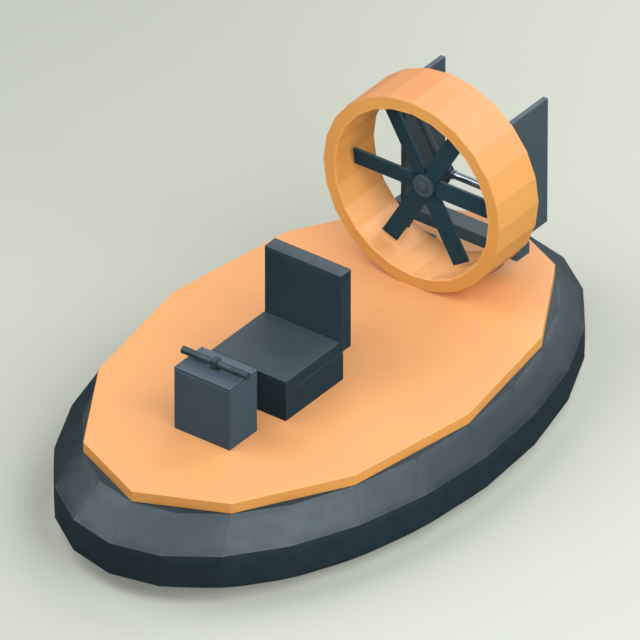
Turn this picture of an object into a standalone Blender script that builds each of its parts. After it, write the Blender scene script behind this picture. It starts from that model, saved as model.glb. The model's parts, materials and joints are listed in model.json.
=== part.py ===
"""Single-seat hovercraft: faceted deck on a bag skirt, handlebar console, box seat,
ducted stern fan with six blades, and twin air rudders on a cross beam.

Metres, +Z up. The bow points to -Y, the stern to +Y, and the port side is +X.
The origin is on the ground, under the middle of the hull.
"""
import math

import bmesh
import bpy
from mathutils import Vector

# Pieces that touch keep this gap between their faces, and a little more where a face slopes.
GAP = 0.0003
SLOPE_GAP = 0.0004
# Solids that are joined into one sink this far into each other.
OVERLAP = 0.002
# Cutters that pass right through a piece are this long.
CUTTER_LENGTH = 0.400
ROUND = 32
# Broken edges of seams, panels, cushions and the battery case.
SEAM_EDGE = 0.001
PANEL_EDGE = 0.003
CUSHION_EDGE = 0.006
CASE_EDGE = 0.008

# Hull, deck and skirt. A ring is (half width, half length) of a many-sided outline.
DECK_CORNERS = 12
SKIRT_CORNERS = 24
DECK_RING = (0.972, 1.643)
BAND_RING = (1.092, 1.837)
CONTACT_RING = (0.930, 1.601)
HULL_RING = (0.800, 1.470)
HULL_FLOOR_RING = (0.740, 1.410)
DECK_BOTTOM = 0.458
DECK_TOP = 0.525
BAND_TOP = 0.302
BAND_BOTTOM = 0.111
HULL_CHINE = 0.120
HULL_FLOOR = 0.080
DECK_EDGE = 0.004

# Landing skids under the hull, which carry the craft when it is parked.
SKID_X = 0.420
SKID_WIDTH = 0.100
SKID_FLAT = 0.850
SKID_HALF_LENGTH = 0.970
SKID_TOE_HEIGHT = 0.045

# Drive battery, in a well of the hull that the deck covers.
BATTERY_Y = 0.430
BATTERY_SIZE = (0.360, 0.440, 0.200)
BATTERY_FLOOR = 0.130
WELL_MARGIN = 0.010

# Seat box, cushion and backrest.
SEAT_HALF_WIDTH = 0.2495
SEAT_FRONT = -0.634
SEAT_BOX_REAR = -0.132
SEAT_SEAM = 0.699
SEAT_TOP = 0.774
BACK_FRONT = -0.158
BACK_PAD_REAR = -0.085
BACK_REAR = -0.065
BACK_TOP = 1.182
BRACKET_X = 0.145
BRACKET_WIDTH = 0.050
BRACKET_BOTTOM = 0.600
BRACKET_TOP = 0.900
BRACKET_PLATE = 0.0077

# Steering console and handlebar.
CONSOLE_HALF_WIDTH = 0.182
CONSOLE_FRONT = -1.033
CONSOLE_REAR = -0.795
CONSOLE_TOP = 0.910
LID_THICKNESS = 0.020
STEERING_Y = 0.5 * (CONSOLE_FRONT + CONSOLE_REAR)
BUSH_BORE = 0.0155
BUSH_RADIUS = 0.0197
BUSH_FLANGE = 0.0235
BUSH_BOTTOM = 0.800
FLANGE_THICKNESS = 0.0037
STEM_RADIUS = 0.015
HANDLEBAR_Z = 0.942
HANDLEBAR_RADIUS = 0.0205
HANDLEBAR_NECK = 0.012
GRIP_RADIUS = 0.0215
GRIP_INNER_END = 0.105
GRIP_OUTER_END = 0.216
GRIP_END_WALL = 0.008
CLAMP_HALF = (0.016, 0.0255)
CLAMP_BOTTOM = 0.9155
CLAMP_TOP = 0.9665
# Thumb throttle: its drop below the bar's axis, its arm and tip along the bar, and its three
# reaches behind the bar.
LEVER_THICKNESS = 0.010
LEVER_DROP = 0.011
LEVER_ARM = (0.083, 0.103)
LEVER_TIP = 0.160
LEVER_REACH = (0.030, 0.034, 0.038)

# Fan duct, its feet on the deck, and the motor on three round struts inside it.
DUCT_Z = 1.098
DUCT_FRONT = 0.797
DUCT_REAR = 1.146
DUCT_OUTER = 0.5816
DUCT_INNER = 0.503
DUCT_EDGE = 0.005
FOOT_X = (0.160, 0.250)
FOOT_Y = (0.905, 1.110)
MOTOR_FRONT = 0.972
MOTOR_REAR = 1.110
MOTOR_RADIUS = 0.058
MOTOR_EDGE = 0.006
STRUT_Y = 1.090
STRUT_RADIUS = 0.0215
STRUTS = (("motor_strut_port", 0), ("motor_strut_upper", 120), ("motor_strut_lower", 240))

# Fan. Blade outline points are (distance from the axis, half chord).
HUB_FRONT = 0.895
HUB_REAR = 0.965
HUB_RADIUS = 0.0655
HUB_EDGE = 0.004
SHAFT_RADIUS = 0.015
SHAFT_END = 1.000
SHAFT_END_ROOM = 0.004
BLADE_COUNT = 6
BLADE_Y = 0.929
BLADE_THICKNESS = 0.018
BLADE_PITCH = 8.0
BLADE_ROOT = (0.050, 0.025)
BLADE_SHOULDER = (0.090, 0.0495)
BLADE_TIP = 0.470

# Rudders on a cross beam behind the duct, with a tie rod between them. Two brackets carry the beam
# on the outside of the duct, low on each side.
BEAM_BRACKET_X = (0.285, 0.345)
BEAM_BRACKET_FRONT = 1.022
BEAM_BRACKET_Z = (0.620, 0.700)
BEAM_HALF_WIDTH = 0.408
BEAM_Y = (1.184, 1.298)
BEAM_BOTTOM = 0.632
BEAM_TOP = 0.708
RUDDER_X = 0.337
RUDDER_AXIS_Y = 1.241
RUDDER_THICKNESS = 0.030
RUDDER_FRONT = 1.180
RUDDER_REAR = 1.532
RUDDER_STEP_Y = 1.329
RUDDER_STEP_Z = 0.718
RUDDER_BOTTOM = 0.686
RUDDER_TOP = 1.461
BEARING_RADIUS = 0.0200
BEARING_FLANGE = 0.030
STOCK_RADIUS = 0.015
STOCK_NUT_RADIUS = 0.024
STOCK_NUT = (0.614, 0.6315)
PALM_HALF = (0.013, 0.046)
PALM_BOTTOM = 0.7135
TIE_Y = 1.361
TIE_Z = 0.645
TIE_ROD_RADIUS = 0.006
TIE_EYE_RADIUS = 0.014
TIE_EYE_THICKNESS = 0.012
TIE_PIN_RADIUS = 0.005
TIE_PIN_HEAD = (0.009, 0.630, 0.635)
TIE_BORE_PORT = 0.0056
TIE_BORE_STARBOARD = 0.0075

# Finishes: name to (colour, roughness, metallic).
FINISHES = {
    "orange_gelcoat": ((0.90, 0.36, 0.11), 0.45, 0.0),
    "dark_hull": ((0.05, 0.06, 0.07), 0.60, 0.0),
    "skirt_cloth": ((0.07, 0.10, 0.12), 0.75, 0.0),
    "skid_plastic": ((0.12, 0.12, 0.12), 0.55, 0.0),
    "battery_case": ((0.10, 0.10, 0.11), 0.50, 0.0),
    "seat_vinyl": ((0.06, 0.09, 0.11), 0.65, 0.0),
    "slate_moulding": ((0.09, 0.12, 0.15), 0.50, 0.0),
    "bracket_steel": ((0.30, 0.31, 0.32), 0.40, 0.9),
    "bush_bronze": ((0.45, 0.33, 0.16), 0.35, 0.9),
    "bar_enamel": ((0.06, 0.08, 0.09), 0.35, 0.3),
    "grip_rubber": ((0.03, 0.04, 0.04), 0.80, 0.0),
    "blade_composite": ((0.03, 0.05, 0.06), 0.40, 0.0),
    "hub_enamel": ((0.09, 0.12, 0.15), 0.40, 0.2),
    "strut_enamel": ((0.09, 0.12, 0.15), 0.25, 0.2),
    "polished_steel": ((0.75, 0.78, 0.82), 0.15, 1.0),
    "rudder_enamel": ((0.09, 0.12, 0.15), 0.45, 0.1),
}

# Turns that lay a flat outline, drawn in X and Y, into another plane.
INTO_YZ = (math.radians(90), 0, math.radians(90))
INTO_XZ = (math.radians(90), 0, 0)
# Turns that lay a Z axis along another axis.
ALONG_X = (0, math.radians(90), 0)
ALONG_Y = (math.radians(-90), 0, 0)

for stale in list(bpy.data.objects):
    bpy.data.objects.remove(stale, do_unlink=True)

parts = bpy.data.collections.new("hovercraft")
cutters = bpy.data.collections.new("cutters")
for group in (parts, cutters):
    bpy.context.scene.collection.children.link(group)


def finish(name):
    """Return the material of one finish, made on first use."""
    if name in bpy.data.materials:
        return bpy.data.materials[name]
    colour, roughness, metallic = FINISHES[name]
    material = bpy.data.materials.new(name)
    material.use_nodes = True
    shader = material.node_tree.nodes["Principled BSDF"]
    shader.inputs["Base Color"].default_value = (*colour, 1.0)
    shader.inputs["Roughness"].default_value = roughness
    shader.inputs["Metallic"].default_value = metallic
    material.diffuse_color = (*colour, 1.0)
    return material


def add_object(name, mesh, finish_name, at=(0, 0, 0), turn=(0, 0, 0), pivot=None):
    """Link a mesh as a part, or as a cutter when it has no finish."""
    piece = bpy.data.objects.new(name, mesh)
    (parts if finish_name else cutters).objects.link(piece)
    piece.rotation_euler = turn
    piece.location = at
    if pivot:
        piece.parent = pivot
        piece.location = Vector(at) - pivot.location
    if finish_name:
        mesh.materials.append(finish(finish_name))
    else:
        piece.hide_render = True
        piece.display_type = "WIRE"
    return piece


def mesh_from(name, shape):
    """Turn a bmesh into a mesh whose faces point out."""
    bmesh.ops.recalc_face_normals(shape, faces=shape.faces)
    mesh = bpy.data.meshes.new(name)
    shape.to_mesh(mesh)
    shape.free()
    return mesh


def box(name, low, high, finish_name=None, edge=0.0, pivot=None):
    """A box between two corners, with chamfered edges if asked."""
    low, high = Vector(low), Vector(high)
    shape = bmesh.new()
    bmesh.ops.create_cube(shape, size=1.0)
    bmesh.ops.scale(shape, vec=high - low, verts=shape.verts)
    piece = add_object(name, mesh_from(name, shape), finish_name, at=(low + high) / 2, pivot=pivot)
    if edge:
        chamfer(piece, edge)
    return piece


def chamfer(piece, width):
    """Break the sharp edges of a piece."""
    bevel = piece.modifiers.new("edges", "BEVEL")
    bevel.width = width
    bevel.segments = 1
    bevel.limit_method = "ANGLE"
    bevel.angle_limit = math.radians(20)
    return bevel


def cylinder(name, radius, length, at, turn=(0, 0, 0), finish_name=None, pivot=None):
    """A round bar about its own Z axis, centred on its place."""
    shape = bmesh.new()
    bmesh.ops.create_cone(shape, cap_ends=True, segments=ROUND, radius1=radius, radius2=radius, depth=length)
    return add_object(name, mesh_from(name, shape), finish_name, at, turn, pivot)


def turned(name, profile, finish_name, at=(0, 0, 0), turn=(0, 0, 0), steps=ROUND, closed=False, pivot=None):
    """Turn a profile of (radius, height) points, listed down its outer side, about Z."""
    mesh = bpy.data.meshes.new(name)
    count = len(profile)
    edges = [(i, i + 1) for i in range(count - 1)]
    if closed:
        edges.append((count - 1, 0))
    mesh.from_pydata([(radius, 0, height) for radius, height in profile], edges, [])
    piece = add_object(name, mesh, finish_name, at, turn, pivot)
    screw = piece.modifiers.new("turn", "SCREW")
    screw.axis = "Z"
    screw.angle = math.tau
    screw.steps = steps
    screw.render_steps = steps
    screw.use_merge_vertices = True
    screw.merge_threshold = 0.0001
    return piece


def flat_shape(name, outline, thickness, finish_name, at=(0, 0, 0), turn=(0, 0, 0), pivot=None):
    """A flat outline with a thickness, centred on its plane."""
    curve = bpy.data.curves.new(name, "CURVE")
    curve.dimensions = "2D"
    curve.fill_mode = "BOTH"
    curve.extrude = thickness / 2
    spline = curve.splines.new("POLY")
    spline.points.add(len(outline) - 1)
    for point, (across, up) in zip(spline.points, outline):
        point.co = (across, up, 0, 1)
    spline.use_cyclic_u = True
    drawing = bpy.data.objects.new(name + "_outline", curve)
    bpy.context.scene.collection.objects.link(drawing)
    bpy.context.view_layer.update()
    evaluated = drawing.evaluated_get(bpy.context.evaluated_depsgraph_get())
    loose = bpy.data.meshes.new_from_object(evaluated)
    shape = bmesh.new()
    shape.from_mesh(loose)
    bmesh.ops.remove_doubles(shape, verts=shape.verts, dist=0.00001)
    bpy.data.objects.remove(drawing, do_unlink=True)
    bpy.data.curves.remove(curve)
    bpy.data.meshes.remove(loose)
    return add_object(name, mesh_from(name, shape), finish_name, at, turn, pivot)


def ringed_solid(name, corners, rings, finish_name):
    """A closed body through level rings, each (half width, half length, height), top first."""
    shape = bmesh.new()
    loops = []
    for half_width, half_length, height in rings:
        angles = [math.tau * i / corners for i in range(corners)]
        loops.append([shape.verts.new((half_width * math.cos(a), half_length * math.sin(a), height))
                      for a in angles])
    for upper, lower in zip(loops, loops[1:]):
        for i in range(corners):
            j = (i + 1) % corners
            shape.faces.new((upper[i], upper[j], lower[j], lower[i]))
    shape.faces.new(loops[0])
    shape.faces.new(loops[-1])
    return add_object(name, mesh_from(name, shape), finish_name)


def ring_quarter(name, profile, side, end, finish_name):
    """A quarter of the bag skirt, swept round the hull.

    profile is a closed list of (half width, half length, height); side is +1 for port,
    end is -1 for the bow half.
    """
    steps = SKIRT_CORNERS // 4
    seam = GAP / 2
    shape = bmesh.new()
    sections = []
    for i in range(steps + 1):
        angle = math.radians(90) * i / steps
        section = []
        for half_width, half_length, height in profile:
            across = max(half_width * math.cos(angle), seam)
            along = max(half_length * math.sin(angle), seam)
            section.append(shape.verts.new((side * across, end * along, height)))
        sections.append(section)
    count = len(profile)
    for first, second in zip(sections, sections[1:]):
        for i in range(count):
            j = (i + 1) % count
            shape.faces.new((first[i], first[j], second[j], second[i]))
    shape.faces.new(sections[0])
    shape.faces.new(sections[-1])
    return add_object(name, mesh_from(name, shape), finish_name)


def boolean(piece, tool, operation="DIFFERENCE"):
    """Cut a tool out of a piece, or join it on."""
    modifier = piece.modifiers.new(tool.name, "BOOLEAN")
    modifier.object = tool
    modifier.operation = operation
    modifier.solver = "EXACT"


def pivot_at(name, at):
    """An empty on a joint's axis, which the moving pieces hang from."""
    pivot = bpy.data.objects.new(name, None)
    pivot.location = at
    parts.objects.link(pivot)
    return pivot


def inset(ring, distance):
    return ring[0] - distance, ring[1] - distance


def make_hull():
    wall = inset(HULL_RING, SLOPE_GAP)
    floor = inset(HULL_FLOOR_RING, SLOPE_GAP)
    hull = ringed_solid("hull_tub", SKIRT_CORNERS, (
        (*wall, DECK_BOTTOM - GAP), (*wall, HULL_CHINE), (*floor, HULL_FLOOR)), "dark_hull")
    half_x, half_y, height = BATTERY_SIZE[0] / 2, BATTERY_SIZE[1] / 2, BATTERY_SIZE[2]
    well_x, well_y = half_x + WELL_MARGIN, half_y + WELL_MARGIN
    well = box("battery_well", (-well_x, BATTERY_Y - well_y, BATTERY_FLOOR - GAP),
               (well_x, BATTERY_Y + well_y, DECK_TOP))
    boolean(hull, well)
    box("battery_pack", (-half_x, BATTERY_Y - half_y, BATTERY_FLOOR),
        (half_x, BATTERY_Y + half_y, BATTERY_FLOOR + height), "battery_case", edge=CASE_EDGE)
    top = HULL_FLOOR - GAP
    outline = ((-SKID_FLAT, 0), (SKID_FLAT, 0), (SKID_HALF_LENGTH, SKID_TOE_HEIGHT),
               (SKID_HALF_LENGTH, top), (-SKID_HALF_LENGTH, top), (-SKID_HALF_LENGTH, SKID_TOE_HEIGHT))
    for name, side in (("landing_skid_port", 1), ("landing_skid_starboard", -1)):
        flat_shape(name, outline, SKID_WIDTH, "skid_plastic", at=(side * SKID_X, 0, 0), turn=INTO_YZ)


def make_deck():
    rings = ((*DECK_RING, DECK_TOP), (*DECK_RING, DECK_BOTTOM))
    deck = ringed_solid("deck", DECK_CORNERS, rings, "orange_gelcoat")
    chamfer(deck, DECK_EDGE)


def make_skirt():
    seat = DECK_BOTTOM - GAP
    profile = ((*DECK_RING, seat), (*BAND_RING, BAND_TOP), (*BAND_RING, BAND_BOTTOM), (*DECK_RING, 0.0),
               (*CONTACT_RING, 0.0), (*HULL_RING, HULL_CHINE), (*HULL_RING, seat))
    for name, side, end in (("skirt_bow_port", 1, -1), ("skirt_bow_starboard", -1, -1),
                            ("skirt_stern_port", 1, 1), ("skirt_stern_starboard", -1, 1)):
        ring_quarter(name, profile, side, end, "skirt_cloth")


def make_seat():
    wide = SEAT_HALF_WIDTH
    box("seat_box", (-wide, SEAT_FRONT, DECK_TOP + GAP), (wide, SEAT_BOX_REAR, SEAT_SEAM - GAP),
        "seat_vinyl", edge=SEAM_EDGE)
    box("seat_cushion", (-wide, SEAT_FRONT, SEAT_SEAM), (wide, BACK_FRONT - GAP, SEAT_TOP),
        "seat_vinyl", edge=CUSHION_EDGE)
    box("backrest_pad", (-wide, BACK_FRONT, SEAT_SEAM), (wide, BACK_PAD_REAR - GAP, BACK_TOP),
        "seat_vinyl", edge=CUSHION_EDGE)
    box("backrest_shell", (-wide, BACK_PAD_REAR, SEAT_SEAM), (wide, BACK_REAR, BACK_TOP),
        "slate_moulding", edge=SEAM_EDGE)
    shelf_front, plate_front = SEAT_BOX_REAR + GAP, BACK_REAR + GAP
    plate_rear = plate_front + BRACKET_PLATE
    shelf_top = SEAT_SEAM - GAP
    outline = ((shelf_front, BRACKET_BOTTOM), (plate_rear, BRACKET_BOTTOM), (plate_rear, BRACKET_TOP),
               (plate_front, BRACKET_TOP), (plate_front, shelf_top), (shelf_front, shelf_top))
    for name, x in (("backrest_bracket_port", BRACKET_X), ("backrest_bracket_starboard", -BRACKET_X)):
        flat_shape(name, outline, BRACKET_WIDTH, "bracket_steel", at=(x, 0, 0), turn=INTO_YZ)


def make_console():
    wide = CONSOLE_HALF_WIDTH
    lid_bottom = CONSOLE_TOP - LID_THICKNESS
    body = box("console_body", (-wide, CONSOLE_FRONT, DECK_TOP + GAP),
               (wide, CONSOLE_REAR, lid_bottom - GAP), "slate_moulding", edge=SEAM_EDGE)
    lid = box("console_lid", (-wide, CONSOLE_FRONT, lid_bottom), (wide, CONSOLE_REAR, CONSOLE_TOP),
              "slate_moulding", edge=SEAM_EDGE)
    bore_top = CONSOLE_TOP + LID_THICKNESS
    bore = cylinder("bush_bore", BUSH_RADIUS + GAP, bore_top - BUSH_BOTTOM,
                    (0, STEERING_Y, (bore_top + BUSH_BOTTOM) / 2))
    boolean(body, bore)
    boolean(lid, bore)
    seat = CONSOLE_TOP + GAP
    flange_top = seat + FLANGE_THICKNESS
    tube_bottom = BUSH_BOTTOM + GAP
    turned("steering_bush", ((BUSH_FLANGE, flange_top), (BUSH_FLANGE, seat), (BUSH_RADIUS, seat),
                             (BUSH_RADIUS, tube_bottom), (BUSH_BORE, tube_bottom), (BUSH_BORE, flange_top)),
           "bush_bronze", at=(0, STEERING_Y, 0), closed=True)


def make_handlebar():
    pivot = pivot_at("handlebar_axis", (0, STEERING_Y, HANDLEBAR_Z))
    half_x, half_y = CLAMP_HALF
    stem = box("steering_stem", (-half_x, STEERING_Y - half_y, CLAMP_BOTTOM),
               (half_x, STEERING_Y + half_y, CLAMP_TOP), "bar_enamel", pivot=pivot)
    shaft_bottom = BUSH_BOTTOM + 2 * GAP
    shaft_top = CLAMP_BOTTOM + OVERLAP
    shaft = cylinder("stem_shaft", STEM_RADIUS, shaft_top - shaft_bottom,
                     (0, STEERING_Y, (shaft_top + shaft_bottom) / 2), pivot=pivot)
    centre = (0, STEERING_Y, HANDLEBAR_Z)
    bore = cylinder("bar_bore", HANDLEBAR_RADIUS + GAP, CUTTER_LENGTH, centre, ALONG_X, pivot=pivot)
    boolean(stem, shaft, "UNION")
    boolean(stem, bore)
    bar, neck = HANDLEBAR_RADIUS, HANDLEBAR_NECK
    shoulder, neck_end = GRIP_INNER_END, GRIP_OUTER_END - GRIP_END_WALL
    turned("handlebar_tube", ((0, neck_end), (neck, neck_end), (neck, shoulder), (bar, shoulder),
                              (bar, -shoulder), (neck, -shoulder), (neck, -neck_end), (0, -neck_end)),
           "bar_enamel", centre, ALONG_X, pivot=pivot)
    grip_bore = neck + GAP
    grip_profile = ((0, GRIP_OUTER_END), (GRIP_RADIUS, GRIP_OUTER_END), (GRIP_RADIUS, shoulder + GAP),
                    (grip_bore, shoulder + GAP), (grip_bore, neck_end + GAP), (0, neck_end + GAP))
    for name, turn in (("grip_port", math.radians(90)), ("grip_starboard", math.radians(-90))):
        turned(name, grip_profile, "grip_rubber", centre, (0, turn, 0), pivot=pivot)
    arm_inner, arm_outer = LEVER_ARM
    root_reach, tip_reach, back_reach = LEVER_REACH
    outline = ((-arm_inner, neck), (-arm_inner, back_reach), (-LEVER_TIP, back_reach),
               (-LEVER_TIP, tip_reach), (-arm_outer, root_reach), (-arm_outer, neck))
    lever = flat_shape("throttle_lever", outline, LEVER_THICKNESS, "bar_enamel",
                       (0, STEERING_Y, HANDLEBAR_Z - LEVER_DROP), pivot=pivot)
    boolean(lever, bore)


def make_duct():
    outer, inner, edge = DUCT_OUTER, DUCT_INNER, DUCT_EDGE
    length = DUCT_REAR - DUCT_FRONT
    ring = turned("duct_ring", ((outer - edge, length), (outer, length - edge), (outer, edge),
                                (outer - edge, 0), (inner + edge, 0), (inner, edge),
                                (inner, length - edge), (inner + edge, length)),
                  "orange_gelcoat", (0, DUCT_FRONT, DUCT_Z), ALONG_Y, steps=SKIRT_CORNERS, closed=True)
    base = DECK_TOP + GAP
    below = box("duct_flat", (-outer, DUCT_FRONT - outer, 0), (outer, DUCT_REAR + outer, base))
    boolean(ring, below)
    facet = math.tau / SKIRT_CORNERS
    lower, upper = [(outer * math.sin(i * facet), DUCT_Z - outer * math.cos(i * facet)) for i in (1, 2)]
    slope = (upper[1] - lower[1]) / (upper[0] - lower[0])
    tops = [lower[1] + slope * (x - lower[0]) - SLOPE_GAP for x in FOOT_X]
    middle = sum(FOOT_Y) / 2
    for name, side in (("duct_foot_port", 1), ("duct_foot_starboard", -1)):
        near, far = side * FOOT_X[0], side * FOOT_X[1]
        outline = ((near, base), (far, base), (far, tops[1]), (near, tops[0]))
        flat_shape(name, outline, FOOT_Y[1] - FOOT_Y[0], "orange_gelcoat", at=(0, middle, 0), turn=INTO_XZ)


def make_motor():
    length = MOTOR_REAR - MOTOR_FRONT
    radius, edge = MOTOR_RADIUS, MOTOR_EDGE
    bore = SHAFT_RADIUS + 2 * GAP
    depth = SHAFT_END - MOTOR_FRONT + SHAFT_END_ROOM
    turned("motor_housing", ((0, length), (radius - edge, length), (radius, length - edge), (radius, edge),
                             (radius - edge, 0), (bore, 0), (bore, depth), (0, depth)),
           "hub_enamel", (0, MOTOR_FRONT, DUCT_Z), ALONG_Y)
    motor_tool = cylinder("motor_seat", MOTOR_RADIUS + GAP, CUTTER_LENGTH, (0, STRUT_Y, DUCT_Z), ALONG_Y)
    wall, far, reach = DUCT_INNER - SLOPE_GAP, DUCT_OUTER + STRUT_RADIUS, CUTTER_LENGTH / 2
    wall_tool = turned("duct_seat", ((far, reach), (far, -reach), (wall, -reach), (wall, reach)), None,
                       (0, STRUT_Y, DUCT_Z), ALONG_Y, steps=SKIRT_CORNERS, closed=True)
    start, end = MOTOR_RADIUS / 2, DUCT_INNER + STRUT_RADIUS
    for name, angle in STRUTS:
        direction = Vector((math.cos(math.radians(angle)), 0, math.sin(math.radians(angle))))
        middle = Vector((0, STRUT_Y, DUCT_Z)) + direction * (start + end) / 2
        tilt = (0, math.radians(90 - angle), 0)
        strut = cylinder(name, STRUT_RADIUS, end - start, middle, tilt, "strut_enamel")
        boolean(strut, motor_tool)
        boolean(strut, wall_tool)


def make_fan():
    pivot = pivot_at("fan_axis", (0, BLADE_Y, DUCT_Z))
    hub_length, shaft_length = HUB_REAR - HUB_FRONT, SHAFT_END - HUB_FRONT
    turned("fan_hub", ((0, shaft_length), (SHAFT_RADIUS, shaft_length), (SHAFT_RADIUS, hub_length),
                       (HUB_RADIUS, hub_length), (HUB_RADIUS, HUB_EDGE), (HUB_RADIUS - HUB_EDGE, 0), (0, 0)),
           "hub_enamel", (0, HUB_FRONT, DUCT_Z), ALONG_Y, pivot=pivot)
    centre = (0, BLADE_Y, DUCT_Z)
    hub_tool = cylinder("hub_seat", HUB_RADIUS + GAP, CUTTER_LENGTH, centre, ALONG_Y, pivot=pivot)
    root, shoulder, tip = BLADE_ROOT, BLADE_SHOULDER, BLADE_TIP
    outline = ((root[0], -root[1]), (shoulder[0], -shoulder[1]), (tip, -shoulder[1]),
               (tip, shoulder[1]), (shoulder[0], shoulder[1]), (root[0], root[1]))
    for i in range(BLADE_COUNT):
        angle = math.tau * i / BLADE_COUNT
        blade = flat_shape(f"fan_blade_{i + 1}", outline, BLADE_THICKNESS, "blade_composite",
                           centre, (math.radians(90 - BLADE_PITCH), -angle, 0), pivot)
        boolean(blade, hub_tool)


def make_rudder_beam():
    wall = DUCT_OUTER + SLOPE_GAP
    duct_tool = turned("duct_outside", ((0, DUCT_REAR + GAP), (wall, DUCT_REAR + GAP), (wall, DUCT_FRONT),
                                        (0, DUCT_FRONT)), None, (0, 0, DUCT_Z), ALONG_Y, steps=SKIRT_CORNERS)
    (inner, outer), (bottom, top) = BEAM_BRACKET_X, BEAM_BRACKET_Z
    for side_name, side in (("port", 1), ("starboard", -1)):
        low_x, high_x = sorted((side * inner, side * outer))
        bracket = box("beam_bracket_" + side_name, (low_x, BEAM_BRACKET_FRONT, bottom),
                      (high_x, BEAM_Y[0] - GAP, top), "rudder_enamel")
        boolean(bracket, duct_tool)
    beam = box("rudder_beam", (-BEAM_HALF_WIDTH, BEAM_Y[0], BEAM_BOTTOM),
               (BEAM_HALF_WIDTH, BEAM_Y[1], BEAM_TOP), "rudder_enamel", edge=PANEL_EDGE)
    seat = BEAM_TOP + GAP
    flange_top = seat + FLANGE_THICKNESS
    for side_name, side in (("port", 1), ("starboard", -1)):
        axis = (side * RUDDER_X, RUDDER_AXIS_Y, 0)
        bore = cylinder("bearing_bore_" + side_name, BEARING_RADIUS + GAP, CUTTER_LENGTH,
                        (*axis[:2], BEAM_TOP))
        boolean(beam, bore)
        turned("rudder_bearing_" + side_name,
               ((BEARING_FLANGE, flange_top), (BEARING_FLANGE, seat), (BEARING_RADIUS, seat),
                (BEARING_RADIUS, BEAM_BOTTOM), (BUSH_BORE, BEAM_BOTTOM), (BUSH_BORE, flange_top)),
               "bush_bronze", at=axis, closed=True)


def make_rudders():
    outline = ((RUDDER_FRONT, RUDDER_STEP_Z), (RUDDER_STEP_Y, RUDDER_STEP_Z), (RUDDER_STEP_Y, RUDDER_BOTTOM),
               (RUDDER_REAR, RUDDER_BOTTOM), (RUDDER_REAR, RUDDER_TOP), (RUDDER_FRONT, RUDDER_TOP))
    head_radius, head_bottom, head_top = TIE_PIN_HEAD
    nut_bottom, nut_top = STOCK_NUT
    stock_top = PALM_BOTTOM + OVERLAP
    for side_name, side in (("port", 1), ("starboard", -1)):
        x = side * RUDDER_X
        pivot = pivot_at("rudder_axis_" + side_name, (x, RUDDER_AXIS_Y, 0))
        blade = flat_shape("rudder_" + side_name, outline, RUDDER_THICKNESS, "rudder_enamel",
                           at=(x, 0, 0), turn=INTO_YZ, pivot=pivot)
        pin = turned("tie_pin_" + side_name,
                     ((0, RUDDER_BOTTOM + head_radius), (TIE_PIN_RADIUS, RUDDER_BOTTOM + head_radius),
                      (TIE_PIN_RADIUS, head_top), (head_radius, head_top), (head_radius, head_bottom),
                      (0, head_bottom)), None, at=(x, TIE_Y, 0), pivot=pivot)
        boolean(blade, pin, "UNION")
        half_x, half_y = PALM_HALF
        palm = box("rudder_stock_" + side_name, (x - half_x, RUDDER_AXIS_Y - half_y, PALM_BOTTOM),
                   (x + half_x, RUDDER_AXIS_Y + half_y, RUDDER_STEP_Z - GAP), "bracket_steel", pivot=pivot)
        shaft = turned("stock_shaft_" + side_name,
                       ((0, stock_top), (STOCK_RADIUS, stock_top), (STOCK_RADIUS, nut_top),
                        (STOCK_NUT_RADIUS, nut_top), (STOCK_NUT_RADIUS, nut_bottom), (0, nut_bottom)), None,
                       at=(x, RUDDER_AXIS_Y, 0), pivot=pivot)
        boolean(palm, shaft, "UNION")


def make_tie_rod():
    pivot = pivot_at("tie_rod_axis", (RUDDER_X, TIE_Y, TIE_Z))
    rod = cylinder("tie_rod", TIE_ROD_RADIUS, 2 * (RUDDER_X - TIE_PIN_RADIUS), (0, TIE_Y, TIE_Z), ALONG_X,
                   "polished_steel", pivot=pivot)
    for side_name, side, bore_radius in (("port", 1, TIE_BORE_PORT), ("starboard", -1, TIE_BORE_STARBOARD)):
        place = (side * RUDDER_X, TIE_Y, TIE_Z)
        eye = cylinder("tie_eye_" + side_name, TIE_EYE_RADIUS, TIE_EYE_THICKNESS, place, pivot=pivot)
        bore = cylinder("tie_bore_" + side_name, bore_radius, 4 * TIE_EYE_THICKNESS, place, pivot=pivot)
        boolean(rod, eye, "UNION")
        boolean(rod, bore)


make_hull()
make_deck()
make_skirt()
make_seat()
make_console()
make_handlebar()
make_duct()
make_motor()
make_fan()
make_rudder_beam()
make_rudders()
make_tie_rod()
bpy.context.view_layer.update()
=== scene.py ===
"""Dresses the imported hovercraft: finishes, skirt, seat, trim, studio floor, lights and camera.

Metres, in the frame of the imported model: bow -Y, stern +Y, port +X, up +Z.
"""
import json
import math

import bmesh
import bpy
from bpy.props import FloatProperty, FloatVectorProperty, PointerProperty
from mathutils import Matrix, Vector

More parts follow.
